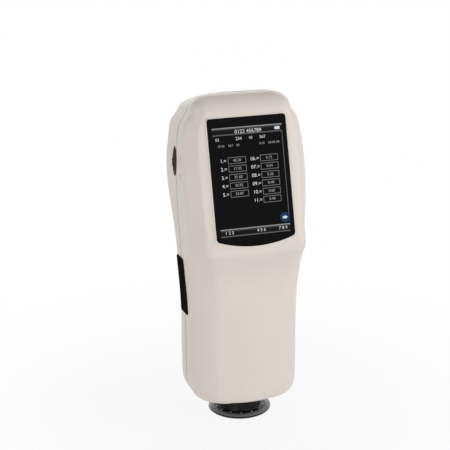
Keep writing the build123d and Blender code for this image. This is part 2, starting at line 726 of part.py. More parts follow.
with BuildPart() as lcd_bracket:
    with BuildSketch(face_level(BRACKET_FRONT)):
        with Locations((0, LCD_CENTRE)):
            RectangleRounded(LCD_WIDTH + 1, LCD_HEIGHT, 2)
        for level in (TAB_LOW, TAB_HIGH):
            with Locations((0, level)):
                SlotCenterToCenter(2 * TAB_X, 2 * TAB_RADIUS)
        with Locations((0, LCD_CENTRE)):
            RectangleRounded(LCD_WIDTH - 14, LCD_HEIGHT - 16, 3, mode=Mode.SUBTRACT)
    extrude(amount=-BRACKET_THICK)
save(lcd_bracket.part, "lcd_bracket")

with BuildPart() as board_spacers:
    with BuildSketch(face_level(BRACKET_BACK)):
        with Locations((0, LCD_CENTRE)):
            with GridLocations(2 * SPACER_X, 2 * SPACER_Y, 2, 2):
                RegularPolygon(SPACER_RADIUS, 6)
    extrude(amount=-SPACER_LENGTH)
save(board_spacers.part, "board_spacers")

with BuildPart() as main_board:
    with BuildSketch(face_level(BOARD_FRONT)):
        with Locations((0, LCD_CENTRE)):
            RectangleRounded(BOARD_WIDTH, BOARD_HEIGHT, 2)
    extrude(amount=-BOARD_THICK)
save(main_board.part, "main_board")

with BuildPart() as board_chips:
    for width, height, thick, x, y in BOARD_CHIPS:
        with BuildSketch(face_level(BOARD_BACK)):
            with Locations((x, y)):
                Rectangle(width, height)
        extrude(amount=-thick)
save(board_chips.part, "board_chips")

with BuildPart() as buzzer:
    with BuildSketch(face_level(BOARD_BACK)):
        with Locations(BUZZER_SPOT):
            Circle(BUZZER_RADIUS)
            Circle(BUZZER_RADIUS / 5, mode=Mode.SUBTRACT)
    extrude(amount=-BUZZER_HEIGHT)
save(buzzer.part, "buzzer")

with BuildPart() as case_screws:
    with BuildSketch(along_y(SCREW_FACE)):
        with Locations(*SCREW_CENTRES):
            Circle(SCREW_HEAD_RADIUS)
    extrude(amount=SCREW_HEAD_HEIGHT)
    with BuildSketch(along_y(SCREW_FACE)):
        with Locations(*SCREW_CENTRES):
            Circle(SCREW_RADIUS)
    extrude(amount=-SCREW_SHANK)
    with BuildSketch(along_y(SCREW_FACE + SCREW_HEAD_HEIGHT)):
        with Locations(*SCREW_CENTRES):
            RegularPolygon(SCREW_SOCKET, 6)
    extrude(amount=-SCREW_HEAD_HEIGHT / 2, mode=Mode.SUBTRACT)
save(case_screws.part, "case_screws")

with BuildPart() as screw_inserts:
    with BuildSketch(along_y(FRONT_EDGE)):
        with Locations(*SCREW_CENTRES):
            Circle(INSERT_RADIUS)
            Circle(SCREW_RADIUS + PIN_FIT, mode=Mode.SUBTRACT)
    extrude(amount=-INSERT_LENGTH)
save(screw_inserts.part, "screw_inserts")

NECK_TOP = BOTTOM_Z + WALL
with BuildPart() as aperture_collar:
    with BuildSketch(Plane.XZ):
        with BuildLine():
            Polyline(
                (NECK_BORE, NECK_TOP + NECK_FLANGE_THICK),
                (NECK_FLANGE_RADIUS, NECK_TOP + NECK_FLANGE_THICK),
                (NECK_FLANGE_RADIUS, NECK_TOP),
                (NECK_RADIUS, NECK_TOP),
                (NECK_RADIUS, NECK_BOTTOM),
                (APERTURE_PLATE_RADIUS + PIN_FIT, NECK_BOTTOM),
                (APERTURE_PLATE_RADIUS + PIN_FIT, NECK_BOTTOM + APERTURE_PLATE_THICK),
                (NECK_BORE, NECK_BOTTOM + APERTURE_PLATE_THICK),
                close=True,
            )
        make_face()
    revolve(axis=Axis.Z)
save(aperture_collar.part, "aperture_collar")

with BuildPart() as aperture_plate:
    with BuildSketch(Plane.XZ):
        with BuildLine():
            Polyline(
                (APERTURE_RADIUS, NECK_BOTTOM),
                (APERTURE_PLATE_RADIUS, NECK_BOTTOM),
                (APERTURE_PLATE_RADIUS, NECK_BOTTOM + APERTURE_PLATE_THICK),
                (APERTURE_RADIUS + APERTURE_PLATE_THICK, NECK_BOTTOM + APERTURE_PLATE_THICK),
                (APERTURE_RADIUS, NECK_BOTTOM + APERTURE_PLATE_THICK / 3),
                close=True,
            )
        make_face()
    revolve(axis=Axis.Z)
save(aperture_plate.part, "aperture_plate")

CAP_WELL = NECK_RADIUS + CAP_FIT
with BuildPart() as calibration_cap:
    with BuildSketch(Plane.XZ):
        with BuildLine():
            sleeve = CAP_WELL + CAP_SLEEVE_THICK
            Polyline(
                (0, 0), (CAP_RADIUS - 0.8, 0), (CAP_RADIUS, 0.8), (CAP_RADIUS, 1.9), (CAP_RADIUS - 0.7, 2.5),
                (sleeve + 0.8, CAP_THICK), (sleeve, CAP_THICK + 0.8), (sleeve, CAP_SLEEVE_TOP - 0.5),
                (sleeve - 0.5, CAP_SLEEVE_TOP), (CAP_WELL, CAP_SLEEVE_TOP),
                (CAP_WELL, CAP_FLOOR), (0, CAP_FLOOR),
                close=True,
            )
        make_face()
    revolve(axis=Axis.Z)
save(calibration_cap.part, "calibration_cap")

with BuildPart() as calibration_tile:
    with BuildSketch(across(CAP_FLOOR)):
        Circle(CAP_WELL - 0.3)
    extrude(amount=TILE_THICK)
save(calibration_tile.part, "calibration_tile")

with BuildPart() as tile_ring:
    with BuildSketch(across(CAP_FLOOR + TILE_THICK)):
        Circle(CAP_WELL - PIN_FIT)
        Circle(TILE_RING_BORE, mode=Mode.SUBTRACT)
    extrude(amount=TILE_RING_THICK)
save(tile_ring.part, "tile_ring")

SPHERE_SEAT = NECK_TOP + NECK_FLANGE_THICK
VIEW_LEAN = radians(VIEW_ANGLE)
VIEW_PLANE = Plane(
    origin=(0, 0, SPHERE_Z),
    x_dir=(cos(VIEW_LEAN), 0, -sin(VIEW_LEAN)),
    z_dir=(sin(VIEW_LEAN), 0, cos(VIEW_LEAN)),
)
with BuildPart() as sphere_lower:
    with BuildSketch(across(SPHERE_SEAT)):
        Circle(PEDESTAL_RADIUS)
    extrude(amount=SPHERE_Z - SPHERE_SEAT - SPHERE_RADIUS / 2)
    with BuildSketch(across(SPHERE_Z)):
        Circle(SPHERE_FLANGE)
    extrude(amount=-SPHERE_FLANGE_THICK)
    with Locations((0, 0, SPHERE_Z)):
        Sphere(SPHERE_RADIUS)
    with BuildSketch(across(SPHERE_Z)):
        Circle(2 * SPHERE_FLANGE)
    extrude(amount=2 * SPHERE_RADIUS, mode=Mode.SUBTRACT)
    with Locations((0, 0, SPHERE_Z)):
        Sphere(SPHERE_RADIUS - SPHERE_WALL, mode=Mode.SUBTRACT)
    with BuildSketch(across(SPHERE_SEAT)):
        Circle(SAMPLE_PORT)
    extrude(amount=SPHERE_RADIUS, mode=Mode.SUBTRACT)
save(sphere_lower.part, "sphere_lower")

with BuildPart() as sphere_upper:
    with BuildSketch(across(SPHERE_Z)):
        Circle(SPHERE_FLANGE)
        with Locations((0, FRAME_Y - 4)):
            Rectangle(20, 8)
    extrude(amount=SPHERE_FLANGE_THICK)
    with BuildSketch(across(SPHERE_Z)):
        with PolarLocations(PILLAR_CIRCLE, 3, start_angle=-90):
            Circle(PILLAR_RADIUS)
    extrude(amount=LAMP_BOARD_Z - SPHERE_Z)
    with Locations((0, 0, SPHERE_Z)):
        Sphere(SPHERE_RADIUS)
    with BuildSketch(VIEW_PLANE):
        Circle(TUBE_RADIUS + 1)
    extrude(amount=TUBE_START)
    with BuildSketch(across(SPHERE_Z)):
        Circle(2 * SPHERE_FLANGE)
    extrude(amount=-2 * SPHERE_RADIUS, mode=Mode.SUBTRACT)
    with Locations((0, 0, SPHERE_Z)):
        Sphere(SPHERE_RADIUS - SPHERE_WALL, mode=Mode.SUBTRACT)
    with BuildSketch(VIEW_PLANE):
        Circle(TUBE_BORE)
    extrude(amount=TUBE_START, mode=Mode.SUBTRACT)
    with BuildSketch(across(SPHERE_Z + SPHERE_FLANGE_THICK)):
        with PolarLocations(LED_CIRCLE, LED_COUNT):
            Circle(LED_RADIUS + FIT)
    extrude(amount=SPHERE_RADIUS, mode=Mode.SUBTRACT)
save(sphere_upper.part, "sphere_upper")

with BuildPart() as lamp_board:
    with BuildSketch(across(LAMP_BOARD_Z)):
        Circle(LAMP_BOARD_RADIUS)
        Circle(LAMP_BOARD_BORE, mode=Mode.SUBTRACT)
    extrude(amount=BOARD_THICK)
save(lamp_board.part, "lamp_board")

with BuildPart() as lamp_leds:
    with BuildSketch(across(LAMP_BOARD_Z)):
        with PolarLocations(LED_CIRCLE, LED_COUNT):
            Circle(LED_RADIUS)
    extrude(amount=-LED_LENGTH)
    fillet(lamp_leds.faces().group_by(Axis.Z)[0].edges(), LED_RADIUS * 0.6)
save(lamp_leds.part, "lamp_leds")

with BuildPart() as lens_tube:
    with BuildSketch(VIEW_PLANE.offset(TUBE_START)):
        Circle(TUBE_RADIUS)
        Circle(TUBE_BORE, mode=Mode.SUBTRACT)
    extrude(amount=TUBE_END - TUBE_START)
save(lens_tube.part, "lens_tube")

with BuildPart() as viewing_lens:
    with BuildSketch(VIEW_PLANE.offset((TUBE_START + TUBE_END) / 2)):
        Circle(TUBE_BORE - PIN_FIT)
    extrude(amount=LENS_THICK)
save(viewing_lens.part, "viewing_lens")

CASE_FRONT = FRAME_Y - CASE_DEPTH
CASE_MIDDLE = (0, CASE_BOTTOM + CASE_HEIGHT / 2)
with BuildPart() as spectrometer_case:
    with BuildSketch(along_y(CASE_FRONT)):
        with Locations(CASE_MIDDLE):
            RectangleRounded(2 * CASE_HALF_WIDTH, CASE_HEIGHT, 2)
    extrude(amount=CASE_DEPTH)
    with BuildSketch(along_y(CASE_FRONT)):
        with Locations(CASE_MIDDLE):
            Rectangle(2 * (CASE_HALF_WIDTH - CASE_WALL), CASE_HEIGHT - 2 * CASE_WALL)
    extrude(amount=CASE_DEPTH - CASE_WALL, mode=Mode.SUBTRACT)
    with BuildSketch(VIEW_PLANE.offset(TUBE_START)):
        Circle(TUBE_RADIUS + FIT)
    extrude(amount=TUBE_END - TUBE_START + CASE_WALL, mode=Mode.SUBTRACT)
save(spectrometer_case.part, "spectrometer_case")

with BuildPart() as spectrometer_cover:
    with BuildSketch(along_y(CASE_FRONT)):
        with Locations(CASE_MIDDLE):
            RectangleRounded(2 * CASE_HALF_WIDTH, CASE_HEIGHT, 2)
    extrude(amount=-COVER_THICK)
save(spectrometer_cover.part, "spectrometer_cover")

CASE_BACK = FRAME_Y - CASE_WALL
with BuildPart() as diffraction_grating:
    with BuildSketch(along_y(CASE_BACK)):
        with Locations((-GRATING_X, GRATING_Z)):
            Rectangle(GRATING_SIZE, OPTIC_THICK, rotation=OPTIC_TURN)
    extrude(amount=-GRATING_SIZE)
save(diffraction_grating.part, "diffraction_grating")

with BuildPart() as focus_mirror:
    with BuildSketch(along_y(CASE_BACK)):
        with Locations((-MIRROR_X, MIRROR_Z)):
            Rectangle(OPTIC_THICK, MIRROR_SIZE, rotation=OPTIC_TURN)
    extrude(amount=-MIRROR_SIZE)
save(focus_mirror.part, "focus_mirror")

with BuildPart() as sensor_board:
    with BuildSketch(along_y(CASE_BACK)):
        with Locations((-SENSOR_X, SENSOR_Z)):
            Rectangle(SENSOR_WIDTH, BOARD_THICK)
    extrude(amount=-SENSOR_DEPTH)
    with BuildSketch(along_y(CASE_BACK - 2)):
        with Locations((-SENSOR_X, SENSOR_Z - BOARD_THICK)):
            Rectangle(SENSOR_WIDTH / 2, BOARD_THICK)
    extrude(amount=-SENSOR_DEPTH + 4)
save(sensor_board.part, "sensor_board")

with BuildPart() as optics_frame:
    with BuildSketch(along_y(FRAME_Y)):
        with Locations((0, (FRAME_TOP + FRAME_BOTTOM) / 2)):
            RectangleRounded(2 * FRAME_HALF_WIDTH, FRAME_TOP - FRAME_BOTTOM, 3)
    extrude(amount=FRAME_THICK)
    with BuildSketch(side_plane(-FRAME_HALF_WIDTH + ARM_THICK)):
        with Locations((-FRAME_Y / 2 - FRAME_THICK / 2 + ARM_FRONT / 2, BUTTON_Z)):
            Rectangle(FRAME_Y + FRAME_THICK + ARM_FRONT, ARM_HEIGHT)
    extrude(amount=ARM_THICK)
save(optics_frame.part, "optics_frame")

with BuildPart() as button_board:
    with BuildSketch(side_plane(-FRAME_HALF_WIDTH)):
        with Locations((-BUTTON_Y, BUTTON_Z)):
            Rectangle(BUTTON_BOARD_WIDTH, BUTTON_BOARD_HEIGHT)
    extrude(amount=BUTTON_BOARD_THICK)
save(button_board.part, "button_board")

KEY_X = -FRAME_HALF_WIDTH - BUTTON_BOARD_THICK
KEY_TOP = KEY_X - KEY_HEIGHT - KEY_STEM
with BuildPart() as measure_switch:
    with BuildSketch(side_plane(KEY_X)):
        with Locations((-BUTTON_Y, BUTTON_Z)):
            RectangleRounded(KEY_SIZE, KEY_SIZE, 0.5)
    extrude(amount=KEY_HEIGHT)
    with BuildSketch(side_plane(KEY_X)):
        with Locations((-BUTTON_Y, BUTTON_Z)):
            Circle(KEY_STEM_RADIUS)
    extrude(amount=KEY_HEIGHT + KEY_STEM)
save(measure_switch.part, "measure_switch")

BUTTON_BACK = WALL + BUTTON_GAP + BUTTON_FLANGE_THICK
BUTTON_INNER = middle_skin(BUTTON_BACK)
with BuildPart() as button_flange:
    with BuildSketch(side_plane(0)):
        with Locations((-BUTTON_Y, BUTTON_Z)):
            RectangleRounded(
                BUTTON_WIDTH + 2 * BUTTON_FLANGE, BUTTON_HEIGHT + 2 * BUTTON_FLANGE, BUTTON_RADIUS,
                rotation=BUTTON_LEAN,
            )
    extrude(amount=HEAD_HALF_WIDTH + 5)
    add(middle_skin(WALL + BUTTON_GAP), mode=Mode.INTERSECT)
    add(BUTTON_INNER, mode=Mode.SUBTRACT)

with BuildPart() as measure_button:
    with BuildSketch(side_plane(0)):
        with Locations((-BUTTON_Y, BUTTON_Z)):
            RectangleRounded(BUTTON_WIDTH, BUTTON_HEIGHT, BUTTON_RADIUS, rotation=BUTTON_LEAN)
    extrude(amount=HEAD_HALF_WIDTH + 5)
    add(middle_skin(-BUTTON_PROUD), mode=Mode.INTERSECT)
    add(BUTTON_INNER, mode=Mode.SUBTRACT)
    add(button_flange.part)
    with BuildSketch(side_plane(KEY_TOP - BUTTON_TRAVEL - KEY_GAP)):
        with Locations((-BUTTON_Y, BUTTON_Z)):
            Circle(BUTTON_POST)
    extrude(amount=GRIP_HALF_WIDTH - 3 + KEY_TOP - BUTTON_TRAVEL - KEY_GAP)
save(measure_button.part, "measure_button")

DIAL_START = radians(-DIAL_SPAN)
DIAL_AXIS = Axis((DIAL_AXIS_X, DIAL_Y, DIAL_Z), (0, 1, 0))
with BuildPart() as power_dial:
    with BuildSketch(Plane(
        origin=(DIAL_AXIS_X, DIAL_Y, DIAL_Z),
        x_dir=(-cos(DIAL_START), 0, sin(DIAL_START)),
        z_dir=(-sin(DIAL_START), 0, -cos(DIAL_START)),
    )):
        with BuildLine():
            inner = DIAL_RADIUS - DIAL_RIM - 1
            shoulder = DIAL_RADIUS - DIAL_EDGE_DROP
            Line((inner, -DIAL_HALF_WIDTH), (shoulder, -DIAL_HALF_WIDTH))
            ThreePointArc((shoulder, -DIAL_HALF_WIDTH), (DIAL_RADIUS, 0), (shoulder, DIAL_HALF_WIDTH))
            Polyline((shoulder, DIAL_HALF_WIDTH), (inner, DIAL_HALF_WIDTH), (inner, -DIAL_HALF_WIDTH))
        make_face()
        with Locations((inner / 2 + 0.5, 0)):
            Rectangle(inner + 1, DIAL_WEB)
    revolve(axis=DIAL_AXIS, revolution_arc=2 * DIAL_SPAN + DIAL_TRAVEL)
    with BuildSketch(along_y(DIAL_FRONT)):
        with Locations((-DIAL_AXIS_X, DIAL_Z)):
            Circle(DIAL_HUB)
    extrude(amount=2 * DIAL_HALF_WIDTH)
    with BuildSketch(along_y(DIAL_Y - DIAL_RIB_HALF)):
        with Locations((-DIAL_AXIS_X, DIAL_Z)):
            with PolarLocations(
                DIAL_RADIUS - DIAL_RIB / 3, DIAL_RIBS, start_angle=-DIAL_RIB_STEP * (DIAL_RIBS - 1) / 2,
                angular_range=DIAL_RIB_STEP * (DIAL_RIBS - 1), endpoint=True,
            ):
                Circle(DIAL_RIB)
    extrude(amount=2 * DIAL_RIB_HALF)
    with BuildSketch(along_y(DIAL_FRONT - 1)):
        with Locations((-DIAL_AXIS_X, DIAL_Z)):
            Circle(DIAL_PIN_RADIUS + PIN_FIT)
    extrude(amount=2 * DIAL_HALF_WIDTH + 2, mode=Mode.SUBTRACT)
save(power_dial.part, "power_dial")

with BuildPart() as dial_pin:
    with BuildSketch(along_y(DIAL_FRONT - DIAL_FREE - LUG_THICK)):
        with Locations((-DIAL_AXIS_X, DIAL_Z)):
            Circle(DIAL_PIN_RADIUS)
    extrude(amount=2 * (DIAL_HALF_WIDTH + DIAL_FREE + LUG_THICK))
save(dial_pin.part, "dial_pin")

with BuildPart() as power_switch:
    with BuildSketch(along_y(DIAL_BACK + DIAL_FREE)):
        with Locations((-DIAL_AXIS_X - SWITCH_REACH + SWITCH_WIDTH / 2, DIAL_Z)):
            Rectangle(SWITCH_WIDTH, SWITCH_HEIGHT)
    extrude(amount=-SWITCH_DEEP)
    with BuildSketch(along_y(DIAL_BACK + DIAL_FREE - SWITCH_DEEP)):
        with Locations((-DIAL_AXIS_X - SWITCH_REACH + SWITCH_WIDTH / 2, DIAL_Z)):
            Rectangle(2, 2)
    extrude(amount=-1.2)
save(power_switch.part, "power_switch")

with BuildPart() as port_cover:
    with BuildSketch(top_level(PORT_COVER_THICK)):
        with Locations((0, PORT_CENTRE)):
            RectangleRounded(PORT_WIDTH, PORT_DEPTH, PORT_ROUND - PORT_GAP)
    extrude(amount=PORT_COVER_THICK + PORT_COVER_PROUD)
    fillet(port_cover.faces().sort_by(Axis(TOP_PLANE.origin, TOP_PLANE.z_dir))[-1].edges(), PORT_COVER_PROUD)
save(port_cover.part, "port_cover")

with BuildPart() as port_board:
    with BuildSketch(top_level(PORT_BOARD_DEPTH)):
        with Locations((0, PORT_CENTRE)):
            RectangleRounded(2 * (PORT_POST_X + PORT_POST_RADIUS), PORT_BOARD_WIDTH, 1)
    extrude(amount=-BOARD_THICK)
save(port_board.part, "port_board")

with BuildPart() as usb_socket:
    with BuildSketch(top_level(PORT_BOARD_DEPTH)):
        with Locations((USB_X, PORT_CENTRE)):
            SlotOverall(USB_WIDTH, USB_HEIGHT)
            SlotOverall(USB_WIDTH - 0.7, USB_HEIGHT - 0.7, mode=Mode.SUBTRACT)
    extrude(amount=PORT_BOARD_DEPTH - PORT_SOCKET_TOP)
    with BuildSketch(top_level(PORT_BOARD_DEPTH)):
        with Locations((USB_X, PORT_CENTRE)):
            SlotOverall(USB_WIDTH, USB_HEIGHT)
    extrude(amount=1)
    with BuildSketch(top_level(PORT_BOARD_DEPTH - 1)):
        with Locations((USB_X, PORT_CENTRE)):
            Rectangle(USB_WIDTH - USB_HEIGHT, 0.7)
    extrude(amount=PORT_BOARD_DEPTH - PORT_SOCKET_TOP - 2)
save(usb_socket.part, "usb_socket")

with BuildPart() as dc_jack:
    with BuildSketch(top_level(PORT_BOARD_DEPTH)):
        with Locations((JACK_X, PORT_CENTRE)):
            Circle(JACK_RADIUS)
            Circle(JACK_RADIUS - 0.8, mode=Mode.SUBTRACT)
    extrude(amount=PORT_BOARD_DEPTH - PORT_SOCKET_TOP)
    with BuildSketch(top_level(PORT_BOARD_DEPTH)):
        with Locations((JACK_X, PORT_CENTRE)):
            Circle(JACK_RADIUS)
    extrude(amount=1)
    with BuildSketch(top_level(PORT_BOARD_DEPTH - 1)):
        with Locations((JACK_X, PORT_CENTRE)):
            Circle(0.6)
    extrude(amount=PORT_BOARD_DEPTH - PORT_SOCKET_TOP - 2)
save(dc_jack.part, "dc_jack")

with BuildPart() as battery:
    with BuildSketch(along_y(BATTERY_FRONT)):
        with Locations((0, BATTERY_Z)):
            RectangleRounded(BATTERY_WIDTH, BATTERY_HEIGHT, 2)
    extrude(amount=BATTERY_THICK)
    fillet(battery.edges().filter_by(Plane.XZ), 1.5)
save(battery.part, "battery")

with BuildPart() as battery_pad:
    with BuildSketch(along_y(BATTERY_FRONT + BATTERY_THICK)):
        with Locations((0, BATTERY_Z)):
            RectangleRounded(BATTERY_WIDTH - 6, BATTERY_HEIGHT - 6, 2)
    extrude(amount=PAD_THICK)
save(battery_pad.part, "battery_pad")

with BuildPart() as battery_tray:
    outer_wide = BATTERY_WIDTH + 2 * (BATTERY_FREE + TRAY_WALL)
    outer_high = BATTERY_HEIGHT + 2 * (BATTERY_FREE + TRAY_WALL)
    with BuildSketch(along_y(TRAY_BACK)):
        with Locations((0, BATTERY_Z)):
            RectangleRounded(outer_wide, outer_high, 3)
    extrude(amount=-TRAY_HEIGHT)
    with BuildSketch(along_y(TRAY_FLOOR)):
        with Locations((0, BATTERY_Z)):
            RectangleRounded(outer_wide - 2 * TRAY_WALL, outer_high - 2 * TRAY_WALL, 2)
    extrude(amount=-TRAY_HEIGHT, mode=Mode.SUBTRACT)
save(battery_tray.part, "battery_tray")
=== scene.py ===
"""Looks of the hand-held colour spectrophotometer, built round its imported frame."""

import json
import logging
import math
from dataclasses import dataclass, field
from enum import Enum

import bpy
from mathutils import Matrix, Vector

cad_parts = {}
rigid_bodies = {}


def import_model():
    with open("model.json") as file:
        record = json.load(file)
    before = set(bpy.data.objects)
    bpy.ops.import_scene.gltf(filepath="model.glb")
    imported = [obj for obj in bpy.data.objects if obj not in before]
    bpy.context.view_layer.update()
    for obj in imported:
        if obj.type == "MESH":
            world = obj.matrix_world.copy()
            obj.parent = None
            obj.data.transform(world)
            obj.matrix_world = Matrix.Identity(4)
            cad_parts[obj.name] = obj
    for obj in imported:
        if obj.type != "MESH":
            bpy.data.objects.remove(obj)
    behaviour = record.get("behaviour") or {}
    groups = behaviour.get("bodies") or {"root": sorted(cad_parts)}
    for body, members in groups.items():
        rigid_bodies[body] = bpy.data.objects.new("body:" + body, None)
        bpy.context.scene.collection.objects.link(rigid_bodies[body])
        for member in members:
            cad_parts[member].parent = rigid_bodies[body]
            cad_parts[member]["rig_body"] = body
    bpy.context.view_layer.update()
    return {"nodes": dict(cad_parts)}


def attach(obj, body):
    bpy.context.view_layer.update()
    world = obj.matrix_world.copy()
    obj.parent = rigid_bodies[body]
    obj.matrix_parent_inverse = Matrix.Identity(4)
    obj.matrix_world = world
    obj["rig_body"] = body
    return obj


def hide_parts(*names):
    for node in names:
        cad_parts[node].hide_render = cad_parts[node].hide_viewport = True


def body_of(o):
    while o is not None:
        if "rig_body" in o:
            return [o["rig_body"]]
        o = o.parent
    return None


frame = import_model()

log = logging.getLogger("spectrophotometer")
MM = 0.001

Colour = tuple[float, float, float]
Point = tuple[float, float, float]
Box = tuple[float, float, float, float]
GroupParts = tuple[bpy.types.NodeTree, bpy.types.Node, bpy.types.Node, bpy.types.Node]

PRINT_LIFT = 0.03 * MM  # how far a print stands off its surface


class Kind(Enum):
    """Families of finish that need different shader settings."""

    PLASTIC = "plastic"
    METAL = "metal"
    RUBBER = "rubber"
    CERAMIC = "ceramic"
    GLASS = "glass"
    LIT = "lit"
    BAR = "bar"
    # housing plastic with painted shade along the seam between the shells
    SHELL = "shell"
    # grip ribs with painted highlight on the crests and painted shade in the troughs
    RIBBED = "ribbed"


class Axis(Enum):
    """Axes that a print is projected along."""

    X = "x"
    Z = "z"


def srgb(red: int, green: int, blue: int) -> Colour:
    """Linear colour of an 8-bit display colour.

    Args:
        red: Red level, 0 to 255.
        green: Green level, 0 to 255.
        blue: Blue level, 0 to 255.

    Returns:
        The three linear levels.
    """
    levels = []
    for level in (red, green, blue):
        share = level / 255
        levels.append(share / 12.92 if share <= 0.04045 else ((share + 0.055) / 1.055) ** 2.4)
    return (levels[0], levels[1], levels[2])


def maths(nodes: bpy.types.Nodes, operation: str) -> bpy.types.Node:
    """Add a Math node to a tree.

    Args:
        nodes: The tree's nodes.
        operation: What the node works out.

    Returns:
        The node.
    """
    node = nodes.new("ShaderNodeMath")
    node.operation = operation
    return node


def multiplied(
    nodes: bpy.types.Nodes, links: bpy.types.NodeLinks, tint: bpy.types.NodeSocket,
) -> bpy.types.Node:
    """Add a node that multiplies a colour, which goes into its socket A, by a tint.

    Args:
        nodes: The tree's nodes.
        links: The tree's links.
        tint: The tint's socket.

    Returns:
        The node.
    """
    product = nodes.new("ShaderNodeMix")
    product.data_type = "RGBA"
    product.blend_type = "MULTIPLY"
    product.inputs["Factor"].default_value = 1.0
    links.new(tint, product.inputs["B"])
    return product


class ShaderGroups:
    """Shader node groups of the finishes, each built once and read in Object coordinates."""

    dial_pin_x = -0.0149
    dial_pin_z = 0.187
    ribs_per_turn = 104.0
    rib_reach = 0.2
    # painted shade in the rib troughs and painted highlight on their crests, as factors on the colour
    rib_trough_shade = 0.45
    rib_crest_highlight = 1.55
    # painted shade along the seam: its plane's Y, the reach of full shade and where it ends, in metres, and
    # its darkest level
    seam_middle = 0.002
    seam_inner = 0.0002
    seam_outer = 0.001
    seam_dark = 0.4
    _built: dict[str, bpy.types.NodeTree] = {}

    @classmethod
    def _start(cls, name: str, inputs: dict[str, float], outputs: tuple[str, ...]) -> GroupParts:
        """Make a group with float sockets.

        Args:
            name: Name of the group.
            inputs: Input names and their defaults.
            outputs: Output names.

        Returns:
            The group's tree, and its input, output and coordinate nodes.
        """
        tree = bpy.data.node_groups.new(name, "ShaderNodeTree")
        for label, value in inputs.items():
            socket = tree.interface.new_socket(label, in_out="INPUT", socket_type="NodeSocketFloat")
            socket.default_value = value
        for label in outputs:
            tree.interface.new_socket(label, in_out="OUTPUT", socket_type="NodeSocketFloat")
        cls._built[name] = tree
        source = tree.nodes.new("NodeGroupInput")
        target = tree.nodes.new("NodeGroupOutput")
        place = tree.nodes.new("ShaderNodeTexCoord")
        return tree, source, target, place

    @classmethod
    def grain(cls) -> bpy.types.NodeTree:
        """Fine moulded or machined grain and a slow mottle.

        Returns:
            Group with inputs Fine, Broad and outputs Height, Mottle.
        """
        if "grain" in cls._built:
            return cls._built["grain"]
        inputs = {"Fine": 2500.0, "Broad": 60.0}
        tree, source, target, place = cls._start("grain", inputs, ("Height", "Mottle"))
        nodes, links = tree.nodes, tree.links
        fine = nodes.new("ShaderNodeTexNoise")
        fine.inputs["Detail"].default_value = 2.0
        cells = nodes.new("ShaderNodeTexVoronoi")
        broad = nodes.new("ShaderNodeTexNoise")
        broad.inputs["Detail"].default_value = 3.0
        mix = maths(nodes, "MULTIPLY_ADD")
        mix.inputs[1].default_value = 0.6
        for texture in (fine, cells, broad):
            links.new(place.outputs["Object"], texture.inputs["Vector"])
        links.new(source.outputs["Fine"], fine.inputs["Scale"])
        links.new(source.outputs["Fine"], cells.inputs["Scale"])
        links.new(source.outputs["Broad"], broad.inputs["Scale"])
        links.new(cells.outputs["Distance"], mix.inputs[0])
        links.new(fine.outputs["Fac"], mix.inputs[2])
        links.new(mix.outputs[0], target.inputs["Height"])
        links.new(broad.outputs["Fac"], target.inputs["Mottle"])
        return tree

    @classmethod
    def brushed(cls) -> bpy.types.NodeTree:
        """Long fine scratches along X.

        Returns:
            Group with input Fine and output Height.
        """
        if "brushed" in cls._built:
            return cls._built["brushed"]
        tree, source, target, place = cls._start("brushed", {"Fine": 900.0}, ("Height",))
        nodes, links = tree.nodes, tree.links
        squeeze = nodes.new("ShaderNodeMapping")
        squeeze.inputs["Scale"].default_value = (0.03, 1.0, 1.0)
        fine = nodes.new("ShaderNodeTexNoise")
        fine.inputs["Detail"].default_value = 4.0
        links.new(place.outputs["Object"], squeeze.inputs["Vector"])
        links.new(squeeze.outputs["Vector"], fine.inputs["Vector"])
        links.new(source.outputs["Fine"], fine.inputs["Scale"])
        links.new(fine.outputs["Fac"], target.inputs["Height"])
        return tree

    @classmethod
    def ribs(cls) -> bpy.types.NodeTree:
        """Grip ribs across the rim of the power dial, counted by the angle round its pin, with painted shade
        in their troughs and painted highlight on their crests.

        Returns:
            Group with inputs Pin X and Pin Z (metres), Per Turn and Reach (radians either side), and
            outputs Height and Tint.
        """
        if "ribs" in cls._built:
            return cls._built["ribs"]
        inputs = {
            "Pin X": cls.dial_pin_x, "Pin Z": cls.dial_pin_z,
            "Per Turn": cls.ribs_per_turn, "Reach": cls.rib_reach,
        }
        tree, source, target, place = cls._start("ribs", inputs, ("Height", "Tint"))
        nodes, links = tree.nodes, tree.links
        split = nodes.new("ShaderNodeSeparateXYZ")
        out_x = maths(nodes, "SUBTRACT")
        out_z = maths(nodes, "SUBTRACT")
        angle = maths(nodes, "ARCTAN2")
        wave = maths(nodes, "MULTIPLY")
        crest = maths(nodes, "COSINE")
        reach = maths(nodes, "ABSOLUTE")
        inside = maths(nodes, "LESS_THAN")
        height = maths(nodes, "MULTIPLY")
        tint = nodes.new("ShaderNodeMapRange")
        tint.inputs["From Min"].default_value = -1.0
        tint.inputs["To Min"].default_value = cls.rib_trough_shade
        tint.inputs["To Max"].default_value = cls.rib_crest_highlight
        links.new(place.outputs["Object"], split.inputs["Vector"])
        links.new(source.outputs["Pin X"], out_x.inputs[0])
        links.new(split.outputs["X"], out_x.inputs[1])
        links.new(split.outputs["Z"], out_z.inputs[0])
        links.new(source.outputs["Pin Z"], out_z.inputs[1])
        links.new(out_z.outputs[0], angle.inputs[0])
        links.new(out_x.outputs[0], angle.inputs[1])
        links.new(angle.outputs[0], wave.inputs[0])
        links.new(source.outputs["Per Turn"], wave.inputs[1])
        links.new(wave.outputs[0], crest.inputs[0])
        links.new(angle.outputs[0], reach.inputs[0])
        links.new(reach.outputs[0], inside.inputs[0])
        links.new(source.outputs["Reach"], inside.inputs[1])
        links.new(crest.outputs[0], height.inputs[0])
        links.new(inside.outputs[0], height.inputs[1])
        links.new(height.outputs[0], tint.inputs["Value"])
        links.new(height.outputs[0], target.inputs["Height"])
        links.new(tint.outputs["Result"], target.inputs["Tint"])
        return tree

